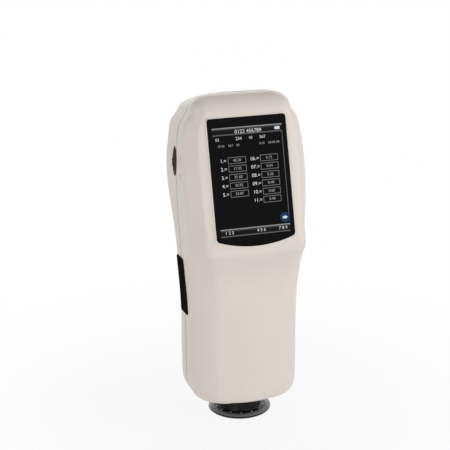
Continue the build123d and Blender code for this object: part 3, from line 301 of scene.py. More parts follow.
    @classmethod
    def seam(cls) -> bpy.types.NodeTree:
        """Painted shade along the groove where the two shells meet: a dark line that darkens the colour near
        the plane of the seam.

        Returns:
            Group with inputs Middle, Inner and Outer (metres) and Dark, and output Tint.
        """
        if "seam" in cls._built:
            return cls._built["seam"]
        inputs = {
            "Middle": cls.seam_middle, "Inner": cls.seam_inner,
            "Outer": cls.seam_outer, "Dark": cls.seam_dark,
        }
        tree, source, target, place = cls._start("seam", inputs, ("Tint",))
        nodes, links = tree.nodes, tree.links
        split = nodes.new("ShaderNodeSeparateXYZ")
        offset = maths(nodes, "SUBTRACT")
        reach = maths(nodes, "ABSOLUTE")
        fade = nodes.new("ShaderNodeMapRange")
        fade.interpolation_type = "SMOOTHSTEP"
        links.new(place.outputs["Object"], split.inputs["Vector"])
        links.new(split.outputs["Y"], offset.inputs[0])
        links.new(source.outputs["Middle"], offset.inputs[1])
        links.new(offset.outputs[0], reach.inputs[0])
        links.new(reach.outputs[0], fade.inputs["Value"])
        links.new(source.outputs["Inner"], fade.inputs["From Min"])
        links.new(source.outputs["Outer"], fade.inputs["From Max"])
        links.new(source.outputs["Dark"], fade.inputs["To Min"])
        links.new(fade.outputs["Result"], target.inputs["Tint"])
        return tree


@dataclass(frozen=True)
class Finish:
    """Surface finish of one sort of piece.

    Roughness varies by the spread and colour by the mottle. Fine and broad are the scales of the grain and of
    the mottle, and depth is the grain's depth in millimetres. Gloss is the specular level.
    """

    name: str
    colour: Colour
    kind: Kind = Kind.PLASTIC
    roughness: float = 0.45
    spread: float = 0.06
    mottle: float = 0.04
    fine: float = 2500.0
    broad: float = 60.0
    depth: float = 0.01
    coat: float = 0.0
    glow: float = 0.0
    gloss: float = 0.5
    bump: float = 0.6
    least_roughness: float = 0.02
    rib_depth: float = 0.15
    sheen: float = 0.2
    sheen_roughness: float = 0.5
    coat_roughness: float = 0.05
    glass_index: float = 1.5
    unlit: Colour = (0.002, 0.002, 0.002)

    def material(self) -> bpy.types.Material:
        """Build the finish's material, or return the one already built.

        Returns:
            The material.
        """
        known = bpy.data.materials.get(f"{self.name}_finish")
        if known:
            return known
        material = bpy.data.materials.new(f"{self.name}_finish")
        material.use_nodes = True
        nodes, links = material.node_tree.nodes, material.node_tree.links
        shader = nodes["Principled BSDF"]
        grain = nodes.new("ShaderNodeGroup")
        grain.node_tree = ShaderGroups.grain()
        grain.inputs["Fine"].default_value = self.fine
        grain.inputs["Broad"].default_value = self.broad
        tint = nodes.new("ShaderNodeMapRange")
        tint.inputs["To Min"].default_value = 1.0 - self.mottle
        tint.inputs["To Max"].default_value = 1.0 + self.mottle
        links.new(grain.outputs["Mottle"], tint.inputs["Value"])
        shade = multiplied(nodes, links, tint.outputs["Result"])
        shade.inputs["A"].default_value = (*self.colour, 1.0)
        links.new(shade.outputs["Result"], shader.inputs["Base Color"])
        rough = nodes.new("ShaderNodeMapRange")
        rough.inputs["To Min"].default_value = max(self.roughness - self.spread, self.least_roughness)
        rough.inputs["To Max"].default_value = self.roughness + self.spread
        links.new(grain.outputs["Mottle"], rough.inputs["Value"])
        links.new(rough.outputs["Result"], shader.inputs["Roughness"])
        bump = nodes.new("ShaderNodeBump")
        bump.inputs["Strength"].default_value = self.bump
        bump.inputs["Distance"].default_value = self.depth * MM
        links.new(grain.outputs["Height"], bump.inputs["Height"])
        links.new(bump.outputs["Normal"], shader.inputs["Normal"])
        shader.inputs["Specular IOR Level"].default_value = self.gloss
        self._tune(nodes, links, shader, bump)
        return material

    def _tune(
        self, nodes: bpy.types.Nodes, links: bpy.types.NodeLinks,
        shader: bpy.types.Node, bump: bpy.types.Node,
    ) -> None:
        """Set what only one kind of finish needs.

        Args:
            nodes: The material's nodes.
            links: The material's links.
            shader: Its Principled BSDF node.
            bump: Its Bump node.
        """
        if self.kind is Kind.METAL:
            shader.inputs["Metallic"].default_value = 1.0
            brushed = nodes.new("ShaderNodeGroup")
            brushed.node_tree = ShaderGroups.brushed()
            links.new(brushed.outputs["Height"], bump.inputs["Height"])
        # the housing shells get a painted shade line along the seam
        if self.kind is Kind.SHELL:
            seam = nodes.new("ShaderNodeGroup")
            seam.node_tree = ShaderGroups.seam()
            self._multiply(nodes, links, shader, seam.outputs["Tint"])
        # the ribs are bumped, and their colour also carries painted shade and highlight
        if self.kind is Kind.RIBBED:
            ribs = nodes.new("ShaderNodeGroup")
            ribs.node_tree = ShaderGroups.ribs()
            self._multiply(nodes, links, shader, ribs.outputs["Tint"])
            links.new(ribs.outputs["Height"], bump.inputs["Height"])
            bump.inputs["Distance"].default_value = self.rib_depth * MM
        if self.kind is Kind.RUBBER:
            shader.inputs["Sheen Weight"].default_value = self.sheen
            shader.inputs["Sheen Roughness"].default_value = self.sheen_roughness
        if self.kind is Kind.CERAMIC or self.coat > 0:
            shader.inputs["Coat Weight"].default_value = self.coat
            shader.inputs["Coat Roughness"].default_value = self.coat_roughness
        if self.kind is Kind.GLASS:
            shader.inputs["Transmission Weight"].default_value = 1.0
            shader.inputs["IOR"].default_value = self.glass_index
        if self.kind in (Kind.LIT, Kind.BAR):
            lit = shader.inputs["Base Color"].links[0].from_socket
            if self.kind is Kind.BAR:
                lit = self._shaded_bar(nodes, links, lit)
            links.remove(shader.inputs["Base Color"].links[0])
            shader.inputs["Base Color"].default_value = (*self.unlit, 1.0)
            links.new(lit, shader.inputs["Emission Color"])
            shader.inputs["Emission Strength"].default_value = self.glow

    @staticmethod
    def _multiply(
        nodes: bpy.types.Nodes, links: bpy.types.NodeLinks,
        shader: bpy.types.Node, tint: bpy.types.NodeSocket,
    ) -> None:
        """Multiply the base colour by a tint.

        Args:
            nodes: The material's nodes.
            links: The material's links.
            shader: Its Principled BSDF node.
            tint: The tint's socket.
        """
        product = multiplied(nodes, links, tint)
        links.new(shader.inputs["Base Color"].links[0].from_socket, product.inputs["A"])
        links.new(product.outputs["Result"], shader.inputs["Base Color"])

    @staticmethod
    def _shaded_bar(
        nodes: bpy.types.Nodes, links: bpy.types.NodeLinks, lit: bpy.types.NodeSocket,
    ) -> bpy.types.NodeSocket:
        """Shade a bar from a bright upper edge to a dark middle, by its UV map.

        Args:
            nodes: The material's nodes.
            links: The material's links.
            lit: The colour to shade.

        Returns:
            The shaded colour.
        """
        place = nodes.new("ShaderNodeUVMap")
        split = nodes.new("ShaderNodeSeparateXYZ")
        ramp = nodes.new("ShaderNodeValToRGB")
        first, *inner_stops, last = BAR_LEVELS
        for stop, (position, level) in zip(ramp.color_ramp.elements, (first, last)):
            stop.position = position
            stop.color = (level, level, level, 1.0)
        for position, level in inner_stops:
            stop = ramp.color_ramp.elements.new(position)
            stop.color = (level, level, level, 1.0)
        shade = multiplied(nodes, links, ramp.outputs["Color"])
        links.new(place.outputs["UV"], split.inputs["Vector"])
        links.new(split.outputs["Y"], ramp.inputs["Fac"])
        links.new(lit, shade.inputs["A"])
        return shade.outputs["Result"]


def lit_finish(name: str, colour: Colour, kind: Kind = Kind.LIT, mottle: float = 0.03) -> Finish:
    """Finish of something that the display shows lit.

    Args:
        name: Name of the finish.
        colour: Colour of its light.
        kind: LIT, or BAR for a shaded bar.
        mottle: How far its colour varies.

    Returns:
        The finish.
    """
    return Finish(name, colour, kind, roughness=0.5, mottle=mottle, depth=0.0005, glow=1.0, gloss=0.05)


# place between a bar's lower and upper edge, and the level of its light there
BAR_LEVELS = ((0.0, 0.3), (0.1, 0.2), (0.18, 0.01), (0.5, 0.006), (0.7, 0.03), (0.86, 0.2), (0.97, 0.75))

# the shell kind adds painted shade along the seam
HOUSING = Finish(
    "moulded_housing", srgb(226, 217, 208), Kind.SHELL,
    roughness=0.4, spread=0.03, mottle=0.01, fine=3000, depth=0.005,
)
GLASS_BLACK = Finish(
    "cover_glass", (0.0012, 0.0012, 0.0013),
    roughness=0.07, spread=0.02, mottle=0.2, depth=0.0003, gloss=0.08,
)
SCREEN_DARK = Finish("screen_dark", (0.004, 0.004, 0.005), roughness=0.5, mottle=0.1, depth=0.001)
BUTTON_BLACK = Finish(
    "button_black", srgb(30, 26, 24),
    roughness=0.5, mottle=0.06, fine=2200, depth=0.01, gloss=0.0,
)
# the ribbed kind paints highlight and shade on the grip ribs
DIAL_GREY = Finish("dial_grey", srgb(66, 62, 58), Kind.RIBBED, roughness=0.5, mottle=0.06, gloss=0.01)
FLAP_RUBBER = Finish("flap_rubber", srgb(214, 206, 196), Kind.RUBBER, roughness=0.55, mottle=0.02, depth=0.01)
COLLAR_BLACK = Finish("collar_black", srgb(14, 14, 14), roughness=0.4, mottle=0.06, depth=0.004, gloss=0.2)
CAP_BLACK = Finish(
    "cap_black", srgb(9, 9, 9),
    roughness=0.3, spread=0.05, mottle=0.06, depth=0.003, gloss=0.2,
)
# painted highlight: lighter grey for the lit outer rim of the black cap
CAP_RIM_HIGHLIGHT = Finish(
    "cap_rim_painted_highlight", srgb(112, 112, 111),
    roughness=0.35, spread=0.05, mottle=0.08, depth=0.003, gloss=0.6,
)
CERAMIC_TILE = Finish(
    "ceramic_tile", srgb(240, 240, 236), Kind.CERAMIC,
    roughness=0.25, mottle=0.01, depth=0.002, coat=0.6,
)
STEEL = Finish("machined_steel", srgb(150, 150, 152), Kind.METAL, roughness=0.3, mottle=0.03, depth=0.004)
DARK_STEEL = Finish("blackened_steel", srgb(70, 70, 72), Kind.METAL, roughness=0.38, mottle=0.05, depth=0.004)
BRASS = Finish("turned_brass", srgb(190, 155, 85), Kind.METAL, roughness=0.3, mottle=0.04, depth=0.004)
ANODISED = Finish("black_anodised", srgb(34, 34, 36), Kind.METAL, roughness=0.45, mottle=0.05, depth=0.003)
SHEET_METAL = Finish(
    "sheet_aluminium", srgb(165, 166, 170), Kind.METAL,
    roughness=0.35, mottle=0.03, depth=0.004,
)
SPHERE_WHITE = Finish("diffuse_white", srgb(235, 235, 232), roughness=0.8, mottle=0.01, depth=0.01)
BOARD_GREEN = Finish(
    "solder_mask", srgb(20, 74, 44),
    roughness=0.35, mottle=0.12, broad=300, depth=0.01, coat=0.2,
)
CHIP_BLACK = Finish("chip_black", srgb(36, 36, 38), roughness=0.6, mottle=0.05, depth=0.01)
BATTERY_WRAP = Finish("battery_wrap", srgb(92, 100, 116), roughness=0.4, mottle=0.05, depth=0.006)
FOAM = Finish("foam", srgb(48, 48, 50), Kind.RUBBER, roughness=0.9, mottle=0.2, fine=1200, depth=0.08)
LAMP_CLEAR = Finish("lamp_clear", (0.9, 0.9, 0.85), Kind.GLASS, roughness=0.08, mottle=0.02, depth=0.001)
LENS_CLEAR = Finish("lens_clear", (0.95, 0.98, 1.0), Kind.GLASS, roughness=0.02, mottle=0.01, depth=0.0005)
MIRROR_COAT = Finish(
    "mirror_coat", srgb(225, 225, 228), Kind.METAL,
    roughness=0.06, spread=0.01, mottle=0.01, depth=0.0005,
)
GRATING_COAT = Finish(
    "grating_coat", srgb(200, 200, 212), Kind.METAL,
    roughness=0.15, spread=0.02, mottle=0.05, depth=0.002,
)
TAPE_BLACK = Finish("tape_black", srgb(24, 24, 24), roughness=0.8, mottle=0.1, depth=0.02)
TEXT_WHITE = lit_finish("lit_white", srgb(214, 216, 218))
TEXT_GREY = lit_finish("lit_grey", srgb(158, 160, 164))
BOX_GREY = lit_finish("lit_box_grey", srgb(118, 120, 123))
ICON_BLUE = lit_finish("lit_blue", srgb(18, 58, 92), mottle=0.1)
BAR_SHADE = lit_finish("lit_bar", srgb(180, 184, 184), Kind.BAR)
PRINT_GREY = Finish("print_grey", srgb(74, 70, 66), roughness=0.6, mottle=0.05, depth=0.002)
PRINT_LIGHT = Finish("print_light", srgb(238, 238, 236), roughness=0.5, mottle=0.05, depth=0.002)

NODE_FINISHES: dict[str, Finish] = {
    "front_shell": HOUSING,
    "rear_shell": HOUSING,
    "display_window": GLASS_BLACK,
    "lcd_module": SCREEN_DARK,
    "window_tape": TAPE_BLACK,
    "lcd_bracket": SHEET_METAL,
    "main_board": BOARD_GREEN,
    "board_chips": CHIP_BLACK,
    "board_spacers": BRASS,
    "buzzer": CHIP_BLACK,
    "battery": BATTERY_WRAP,
    "battery_tray": CHIP_BLACK,
    "battery_pad": FOAM,
    "power_dial": DIAL_GREY,
    "dial_pin": STEEL,
    "power_switch": CHIP_BLACK,
    "measure_button": BUTTON_BLACK,
    "button_board": BOARD_GREEN,
    "measure_switch": CHIP_BLACK,
    "port_cover": FLAP_RUBBER,
    "port_board": BOARD_GREEN,
    "usb_socket": STEEL,
    "dc_jack": CHIP_BLACK,
    "aperture_collar": COLLAR_BLACK,
    "aperture_plate": ANODISED,
    "calibration_cap": CAP_BLACK,
    "calibration_tile": CERAMIC_TILE,
    "tile_ring": ANODISED,
    "sphere_lower": SPHERE_WHITE,
    "sphere_upper": SPHERE_WHITE,
    "lamp_board": BOARD_GREEN,
    "lamp_leds": LAMP_CLEAR,
    "lens_tube": ANODISED,
    "viewing_lens": LENS_CLEAR,
    "spectrometer_case": ANODISED,
    "spectrometer_cover": ANODISED,
    "diffraction_grating": GRATING_COAT,
    "focus_mirror": MIRROR_COAT,
    "sensor_board": BOARD_GREEN,
    "optics_frame": SHEET_METAL,
    "case_screws": DARK_STEEL,
    "screw_inserts": BRASS,
}

OUTER_NODES = (
    "front_shell", "rear_shell", "display_window", "power_dial", "measure_button", "port_cover",
    "aperture_collar", "aperture_plate", "calibration_cap", "calibration_tile", "tile_ring", "case_screws",
    "usb_socket", "dc_jack", "sphere_lower",
)


def select_only(*objects: bpy.types.Object) -> None:
    """Select these objects alone, the first one active.

    Args:
        objects: Objects to select.
    """
    bpy.ops.object.select_all(action="DESELECT")
    for piece in objects:
        piece.select_set(True)
    bpy.context.view_layer.objects.active = objects[0]


def settle(piece: bpy.types.Object, name: str, finish: Finish, body: str = "housing") -> bpy.types.Object:
    """Give a finished piece its name, finish and body, with its place in its mesh.

    Args:
        piece: The object.
        name: Its new name.
        finish: Its finish.
        body: The CAD body that it rides on.

    Returns:
        The same object.
    """
    select_only(piece)
    bpy.ops.object.transform_apply(location=True, rotation=True, scale=True)
    piece.name = name
    piece.data.name = name
    piece.data.materials.clear()
    piece.data.materials.append(finish.material())
    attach(piece, body)
    log.info("made %s", name)
    return piece


@dataclass
class Panel:
    """The leaning plane of the display panel, in which the screen is laid out."""

    tilt: float = 15.5
    middle: Point = (0.0, -30.6, 180.0)

    def matrix(self, depth: float) -> Matrix:
        """Placement of a flat drawing at a depth behind the front of the glass.

        Args:
            depth: The depth in millimetres, less than 0 in front of the glass.

        Returns:
            Matrix from the drawing's coordinates, in metres, to the shared frame.
        """
        turn = Matrix.Rotation(math.radians(90 - self.tilt), 4, "X")
        inward = Vector((0, math.cos(math.radians(self.tilt)), -math.sin(math.radians(self.tilt))))
        return Matrix.Translation((Vector(self.middle) + inward * depth) * MM) @ turn


@dataclass(frozen=True)
class Caption:
    """A plain number on the screen, placed by its middle, in millimetres."""

    text: str
    x: float
    y: float
    size: float


@dataclass
class Drawing:
    """Flat drawing on the panel, collected as simple meshes and joined into one piece."""

    name: str
    finish: Finish
    depth: float
    parts: list[bpy.types.Object] = field(default_factory=list)

    def rectangle(self, x0: float, y0: float, x1: float, y1: float) -> None:
        """Add a filled rectangle between two corners, in millimetres.

        Args:
            x0: Left edge.
            y0: Lower edge.
            x1: Right edge.
            y1: Upper edge.
        """
        bpy.ops.object.select_all(action="DESELECT")
        bpy.ops.mesh.primitive_plane_add(size=1, location=((x0 + x1) / 2 * MM, (y0 + y1) / 2 * MM, 0))
        plate = bpy.context.object
        plate.scale = ((x1 - x0) * MM, (y1 - y0) * MM, 1)
        bpy.ops.object.transform_apply(location=True, rotation=True, scale=True)
        self.parts.append(plate)

    def outline(self, x0: float, y0: float, x1: float, y1: float, line: float) -> None:
        """Add the four sides of a rectangle.

        Args:
            x0: Left edge.
            y0: Lower edge.
            x1: Right edge.
            y1: Upper edge.
            line: Width of the line.
        """
        self.rectangle(x0, y0, x1, y0 + line)
        self.rectangle(x0, y1 - line, x1, y1)
        self.rectangle(x0, y0 + line, x0 + line, y1 - line)
        self.rectangle(x1 - line, y0 + line, x1, y1 - line)

    def disc(self, x: float, y: float, radius: float, sides: int = 40, turn: float = 0.0) -> None:
        """Add a filled disc, or a filled regular polygon.

        Args:
            x: Middle across.
            y: Middle up.
            radius: Radius.
            sides: Number of sides.
            turn: Turn in its plane, in degrees.
        """
        bpy.ops.object.select_all(action="DESELECT")
        bpy.ops.mesh.primitive_circle_add(
            vertices=sides, radius=radius * MM, fill_type="NGON", location=(x * MM, y * MM, 0),
            rotation=(0, 0, math.radians(turn)),
        )
        disc = bpy.context.object
        bpy.ops.object.transform_apply(location=True, rotation=True, scale=True)
        self.parts.append(disc)

    def caption(self, item: Caption) -> None:
        """Add a text as a mesh.

        Args:
            item: The text, its middle and its size.
        """
        bpy.ops.object.select_all(action="DESELECT")
        bpy.ops.object.text_add(location=(item.x * MM, item.y * MM, 0))
        words = bpy.context.object
        words.data.body = item.text
        words.data.align_x = "CENTER"
        words.data.align_y = "CENTER"
        words.data.size = item.size * MM
        words.data.resolution_u = 3
        bpy.ops.object.convert(target="MESH")
        bpy.ops.object.transform_apply(location=True, rotation=True, scale=True)
        self.parts.append(words)

    def finish_piece(self, panel: Panel) -> bpy.types.Object:
        """Join the parts, place them on the panel and dress them.

        Args:
            panel: The plane that they lie in.

        Returns:
            The finished piece.
        """
        select_only(*self.parts)
        if len(self.parts) > 1:
            bpy.ops.object.join()
        piece = bpy.context.object
        piece.matrix_world = panel.matrix(self.depth)
        return settle(piece, self.name, self.finish)


@dataclass
class Screen:
    """The lit page of the display, laid a hair in front of the glass, with plain numbers only."""

    panel: Panel
    half_width: float = 24.7
    top: float = 36.6
    bar: float = 5.2
    footer_top: float = -31.3
    scroll_line: tuple[float, float, float] = (0.4, 0.1, -25.0)
    rows: tuple[float, ...] = (14.4, 8.8, 3.1, -2.5, -8.1, -13.6)
    left_box: tuple[float, float] = (-15.3, -2.6)
    right_box: tuple[float, float] = (7.4, 20.0)
    box_height: float = 4.4
    box_line: float = 0.35
    far: float = -0.02
    near: float = -0.035
    title: Caption = Caption("0123 456789", 0.5, 33.3, 3.6)
    heads: tuple[Caption, ...] = (
        Caption("01", -21.3, 28.7, 3.0), Caption("234", -6.5, 28.7, 2.9), Caption("10", 1.8, 28.7, 2.7),
        Caption("567", 10.3, 28.7, 2.9),
    )
    notes: tuple[Caption, ...] = (
        Caption("12 34", -19.3, 24.4, 2.2), Caption("567", -12.5, 24.4, 2.2), Caption("89", -7.4, 24.4, 2.2),
        Caption("0:12", 9.6, 24.4, 2.2), Caption("34-56-78", 18.0, 24.4, 2.2),
    )
    keys: tuple[Caption, ...] = (
        Caption("1 2 3", -18.5, -33.9, 3.0), Caption("4 5 6", 4.0, -33.9, 3.0),
        Caption("7 8 9", 19.5, -33.9, 3.0),
    )
    battery_sign: tuple[Box, ...] = ((19.6, 32.9, 23.0, 34.9), (19.2, 33.5, 19.6, 34.3))
    left_label: float = -18.6
    right_label: float = 3.6
    label_size: float = 3.4
    value_size: float = 2.6
    left_values: tuple[str, ...] = ("48.20", "17.35", "25.60", "30.92", "55.87")
    right_values: tuple[str, ...] = ("0.12", "0.24", "0.36", "0.48", "0.60", "0.90")
    icon: tuple[float, float, float] = (21.4, -26.9, 3.3)
    icon_tail: tuple[float, float, float] = (0.4, 0.05, -31.0)
    arrow_shaft: Box = (19.8, -27.6, 21.7, -26.2)
    arrow_head: tuple[float, float, float] = (22.1, -26.9, 1.5)

    def build(self) -> None:
        """Build the bars, the boxes, the figures and the icon."""
        self._bars()
        self._boxes()
        self._labels()
        self._figures()
        self._icon()

    def _columns(self) -> tuple[tuple[tuple[float, float], tuple[str, ...]], ...]:
        """Pair the sides of each column's boxes with its values."""
        return (self.left_box, self.left_values), (self.right_box, self.right_values)

    def _bars(self) -> None:
        """Build the shaded header and footer bars and the thin scroll line."""
        bars = Drawing("screen_bars", BAR_SHADE, self.far)
        for top in (self.top, self.footer_top):
            bars.rectangle(-self.half_width, top - self.bar, self.half_width, top)
        bars.finish_piece(self.panel)
        line = Drawing("screen_scroll_line", BOX_GREY, self.far)
        outer, inner, low = self.scroll_line
        line.rectangle(self.half_width - outer, low, self.half_width - inner, self.top - self.bar)
        line.finish_piece(self.panel)

    def _boxes(self) -> None:
        """Build the outlined boxes that hold the values."""
        boxes = Drawing("screen_boxes", BOX_GREY, self.far)
        half = self.box_height / 2
        for (left, right), values in self._columns():
            for row, _ in zip(self.rows, values):
                boxes.outline(left, row - half, right, row + half, self.box_line)
        boxes.finish_piece(self.panel)

    def _labels(self) -> None:
        """Build the brighter numbers in the bars and beside the boxes, and the battery sign."""
        labels = Drawing("screen_labels", TEXT_WHITE, self.near)
        for item in (self.title, *self.heads):
            labels.caption(item)
        for number, (row, _) in enumerate(zip(self.rows, self.left_values), start=1):
            labels.caption(Caption(f"{number}.=", self.left_label, row, self.label_size))
        for number, row in enumerate(self.rows, start=len(self.left_values) + 1):
            labels.caption(Caption(f"{number:02d}.=", self.right_label, row, self.label_size))
        for item in self.keys:
            labels.caption(item)
        for box in self.battery_sign:
            labels.rectangle(*box)
        labels.finish_piece(self.panel)

    def _figures(self) -> None:
        """Build the greyer numbers under the header and in the boxes."""
        figures = Drawing("screen_figures", TEXT_GREY, self.near)
        for item in self.notes:
            figures.caption(item)
        for (left, right), values in self._columns():
            for row, value in zip(self.rows, values):
                figures.caption(Caption(value, (left + right) / 2, row, self.value_size))
        figures.finish_piece(self.panel)

    def _icon(self) -> None:
        """Build the round icon with its arrow, and the tail of the scroll line under it."""
        disc = Drawing("screen_icon_disc", ICON_BLUE, self.far)
        disc.disc(*self.icon)
        outer, inner, low = self.icon_tail
        disc.rectangle(self.half_width - outer, low, self.half_width - inner, self.scroll_line[2])
        disc.finish_piece(self.panel)
        arrow = Drawing("screen_icon_arrow", TEXT_WHITE, self.near)
        arrow.rectangle(*self.arrow_shaft)
        arrow.disc(*self.arrow_head, sides=3, turn=-90)
        arrow.finish_piece(self.panel)


@dataclass(frozen=True)
class SmoothCopy:
    """Merged, smooth-shaded copy of a CAD node, which stands for the node.

    Crease is the sharpest angle, in degrees, that is still shaded smooth. Corners nearer than merge, in
    metres, become one.
    """

    node: str
    crease: float = 13.0
    merge: float = 0.000002

    def build(self) -> bpy.types.Object:
        """Copy the node's mesh, merge its corners, smooth it and dress it.

        Returns:
            The finished copy.
        """
        source = frame["nodes"][self.node]
        mesh = source.data.copy()
        piece = bpy.data.objects.new(f"{self.node}_surface", mesh)
        bpy.context.scene.collection.objects.link(piece)
        select_only(piece)
        bpy.ops.object.mode_set(mode="EDIT")
        bpy.ops.mesh.select_all(action="SELECT")
        bpy.ops.mesh.remove_doubles(threshold=self.merge)
        bpy.ops.object.mode_set(mode="OBJECT")
        bpy.ops.object.shade_smooth_by_angle(angle=math.radians(self.crease))
        even = piece.modifiers.new("even", "WEIGHTED_NORMAL")
        even.mode = "FACE_AREA"
        even.keep_sharp = True
        bpy.ops.object.modifier_apply(modifier=even.name)
        settle(piece, piece.name, NODE_FINISHES[self.node], body_of(source)[0])
        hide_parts(self.node)
        return piece


def print_on(piece: bpy.types.Object, target: bpy.types.Object, axis: Axis) -> None:
    """Lay a flat print on a surface by projecting it along one axis.

    Args:
        piece: The flat print, on the positive or negative side of the target.
        target: The surface that it lies on.
        axis: Axis of the projection.
    """
    select_only(piece)
    bpy.ops.object.transform_apply(location=True, rotation=True, scale=True)
    wrap = piece.modifiers.new("wrap", "SHRINKWRAP")
    wrap.target = target
    wrap.wrap_method = "PROJECT"
    wrap.use_project_x = axis is Axis.X
    wrap.use_project_z = axis is Axis.Z
    wrap.use_negative_direction = True
    wrap.use_positive_direction = True
    wrap.offset = PRINT_LIFT
    bpy.ops.object.modifier_apply(modifier=wrap.name)


@dataclass
class DialMarks:
    """The stroke and the ring printed beside the power dial."""

    target: bpy.types.Object
    side: float = -46.0
    across: float = -9.0
    stroke_low: float = 190.8
    stroke_high: float = 195.2
    stroke_width: float = 0.4
    ring_height: float = 181.2
    ring_radius: float = 1.75
    ring_line: float = 0.4
    ring_sides: int = 48

    def build(self) -> None:
        """Print both marks on the front shell."""
        self._stroke()
        self._ring()

    def _stroke(self) -> None:
        """Print the upright stroke."""
        middle = (self.stroke_low + self.stroke_high) / 2
        bpy.ops.object.select_all(action="DESELECT")
        bpy.ops.mesh.primitive_grid_add(
            x_subdivisions=8, y_subdivisions=2, size=1,
            location=(self.side * MM, self.across * MM, middle * MM), rotation=(0, math.radians(-90), 0),
        )
        stroke = bpy.context.object
        stroke.scale = ((self.stroke_high - self.stroke_low) * MM, self.stroke_width * MM, 1)
        print_on(stroke, self.target, Axis.X)
        settle(stroke, "dial_mark_stroke", PRINT_GREY)

    def _ring(self) -> None:
        """Print the ring, a circle extruded inwards."""
        bpy.ops.object.select_all(action="DESELECT")
        bpy.ops.mesh.primitive_circle_add(
            vertices=self.ring_sides, radius=self.ring_radius * MM, fill_type="NOTHING",
            location=(self.side * MM, self.across * MM, self.ring_height * MM),
            rotation=(0, math.radians(-90), 0),
        )
        ring = bpy.context.object
        share = 1 - self.ring_line / self.ring_radius
        bpy.ops.object.mode_set(mode="EDIT")
        bpy.ops.mesh.extrude_edges_move()
        bpy.ops.transform.resize(value=(share, share, share))
        bpy.ops.object.mode_set(mode="OBJECT")
        print_on(ring, self.target, Axis.X)
        settle(ring, "dial_mark_ring", PRINT_GREY)


@dataclass
class CapRimHighlight:
    """Painted highlight: a lighter grey band round the outer part of the cap's black flange, where its rim
    catches the light.
    """

    target: bpy.types.Object
    inner_radius: float = 18.9
    outer_radius: float = 22.4
    lowest: float = 1.95

    def build(self) -> None:
        """Give the flange's faces that lie in the band the painted highlight's material."""
        self.target.data.materials.append(CAP_RIM_HIGHLIGHT.material())
        for face in self.target.data.polygons:
            reach = math.hypot(face.center.x, face.center.y) / MM
            if self.inner_radius < reach < self.outer_radius and face.center.z / MM > self.lowest:
                face.material_index = 1


@dataclass
class CapMarks:
    """Ring of short light strokes on the flange of the calibration cap."""

    target: bpy.types.Object
    count: int = 14
    radius: float = 17.6
    height: float = 5.0
    length: float = 1.5
    width: float = 0.55

    def build(self) -> None:
        """Print one stroke, copy it round and join the copies."""
        strokes = []
        for number in range(self.count):
            turn = (number + 0.5) * 2 * math.pi / self.count
            bpy.ops.object.select_all(action="DESELECT")
            bpy.ops.mesh.primitive_grid_add(
                x_subdivisions=4, y_subdivisions=2, size=1,
                location=(
                    self.radius * math.sin(turn) * MM,
                    -self.radius * math.cos(turn) * MM,
                    self.height * MM,
                ),
                rotation=(0, 0, turn),
            )
            stroke = bpy.context.object
            stroke.scale = (self.length * MM, self.width * MM, 1)
            strokes.append(stroke)
        select_only(*strokes)
        bpy.ops.object.transform_apply(location=True, rotation=True, scale=True)
        bpy.ops.object.join()
        marks = bpy.context.object
        print_on(marks, self.target, Axis.Z)
        settle(marks, "cap_marks", PRINT_LIGHT, "calibration_cap")


@dataclass(frozen=True)
class Lamp:
    """Square soft lamp, aimed at one point. Lengths are in metres and power in watts."""

    name: str
    place: Point
    size: float
    power: float
    aim: Point = (0.0, 0.0, 0.12)

    def hang(self) -> None:
        """Hang the lamp in its place."""
        data = bpy.data.lights.new(self.name, "AREA")
        data.shape = "SQUARE"
        data.size = self.size
        data.energy = self.power
        lamp = bpy.data.objects.new(self.name, data)
        bpy.context.scene.collection.objects.link(lamp)
        way = Vector(self.aim) - Vector(self.place)
        lamp.matrix_world = Matrix.Translation(self.place) @ way.to_track_quat("-Z", "Y").to_matrix().to_4x4()


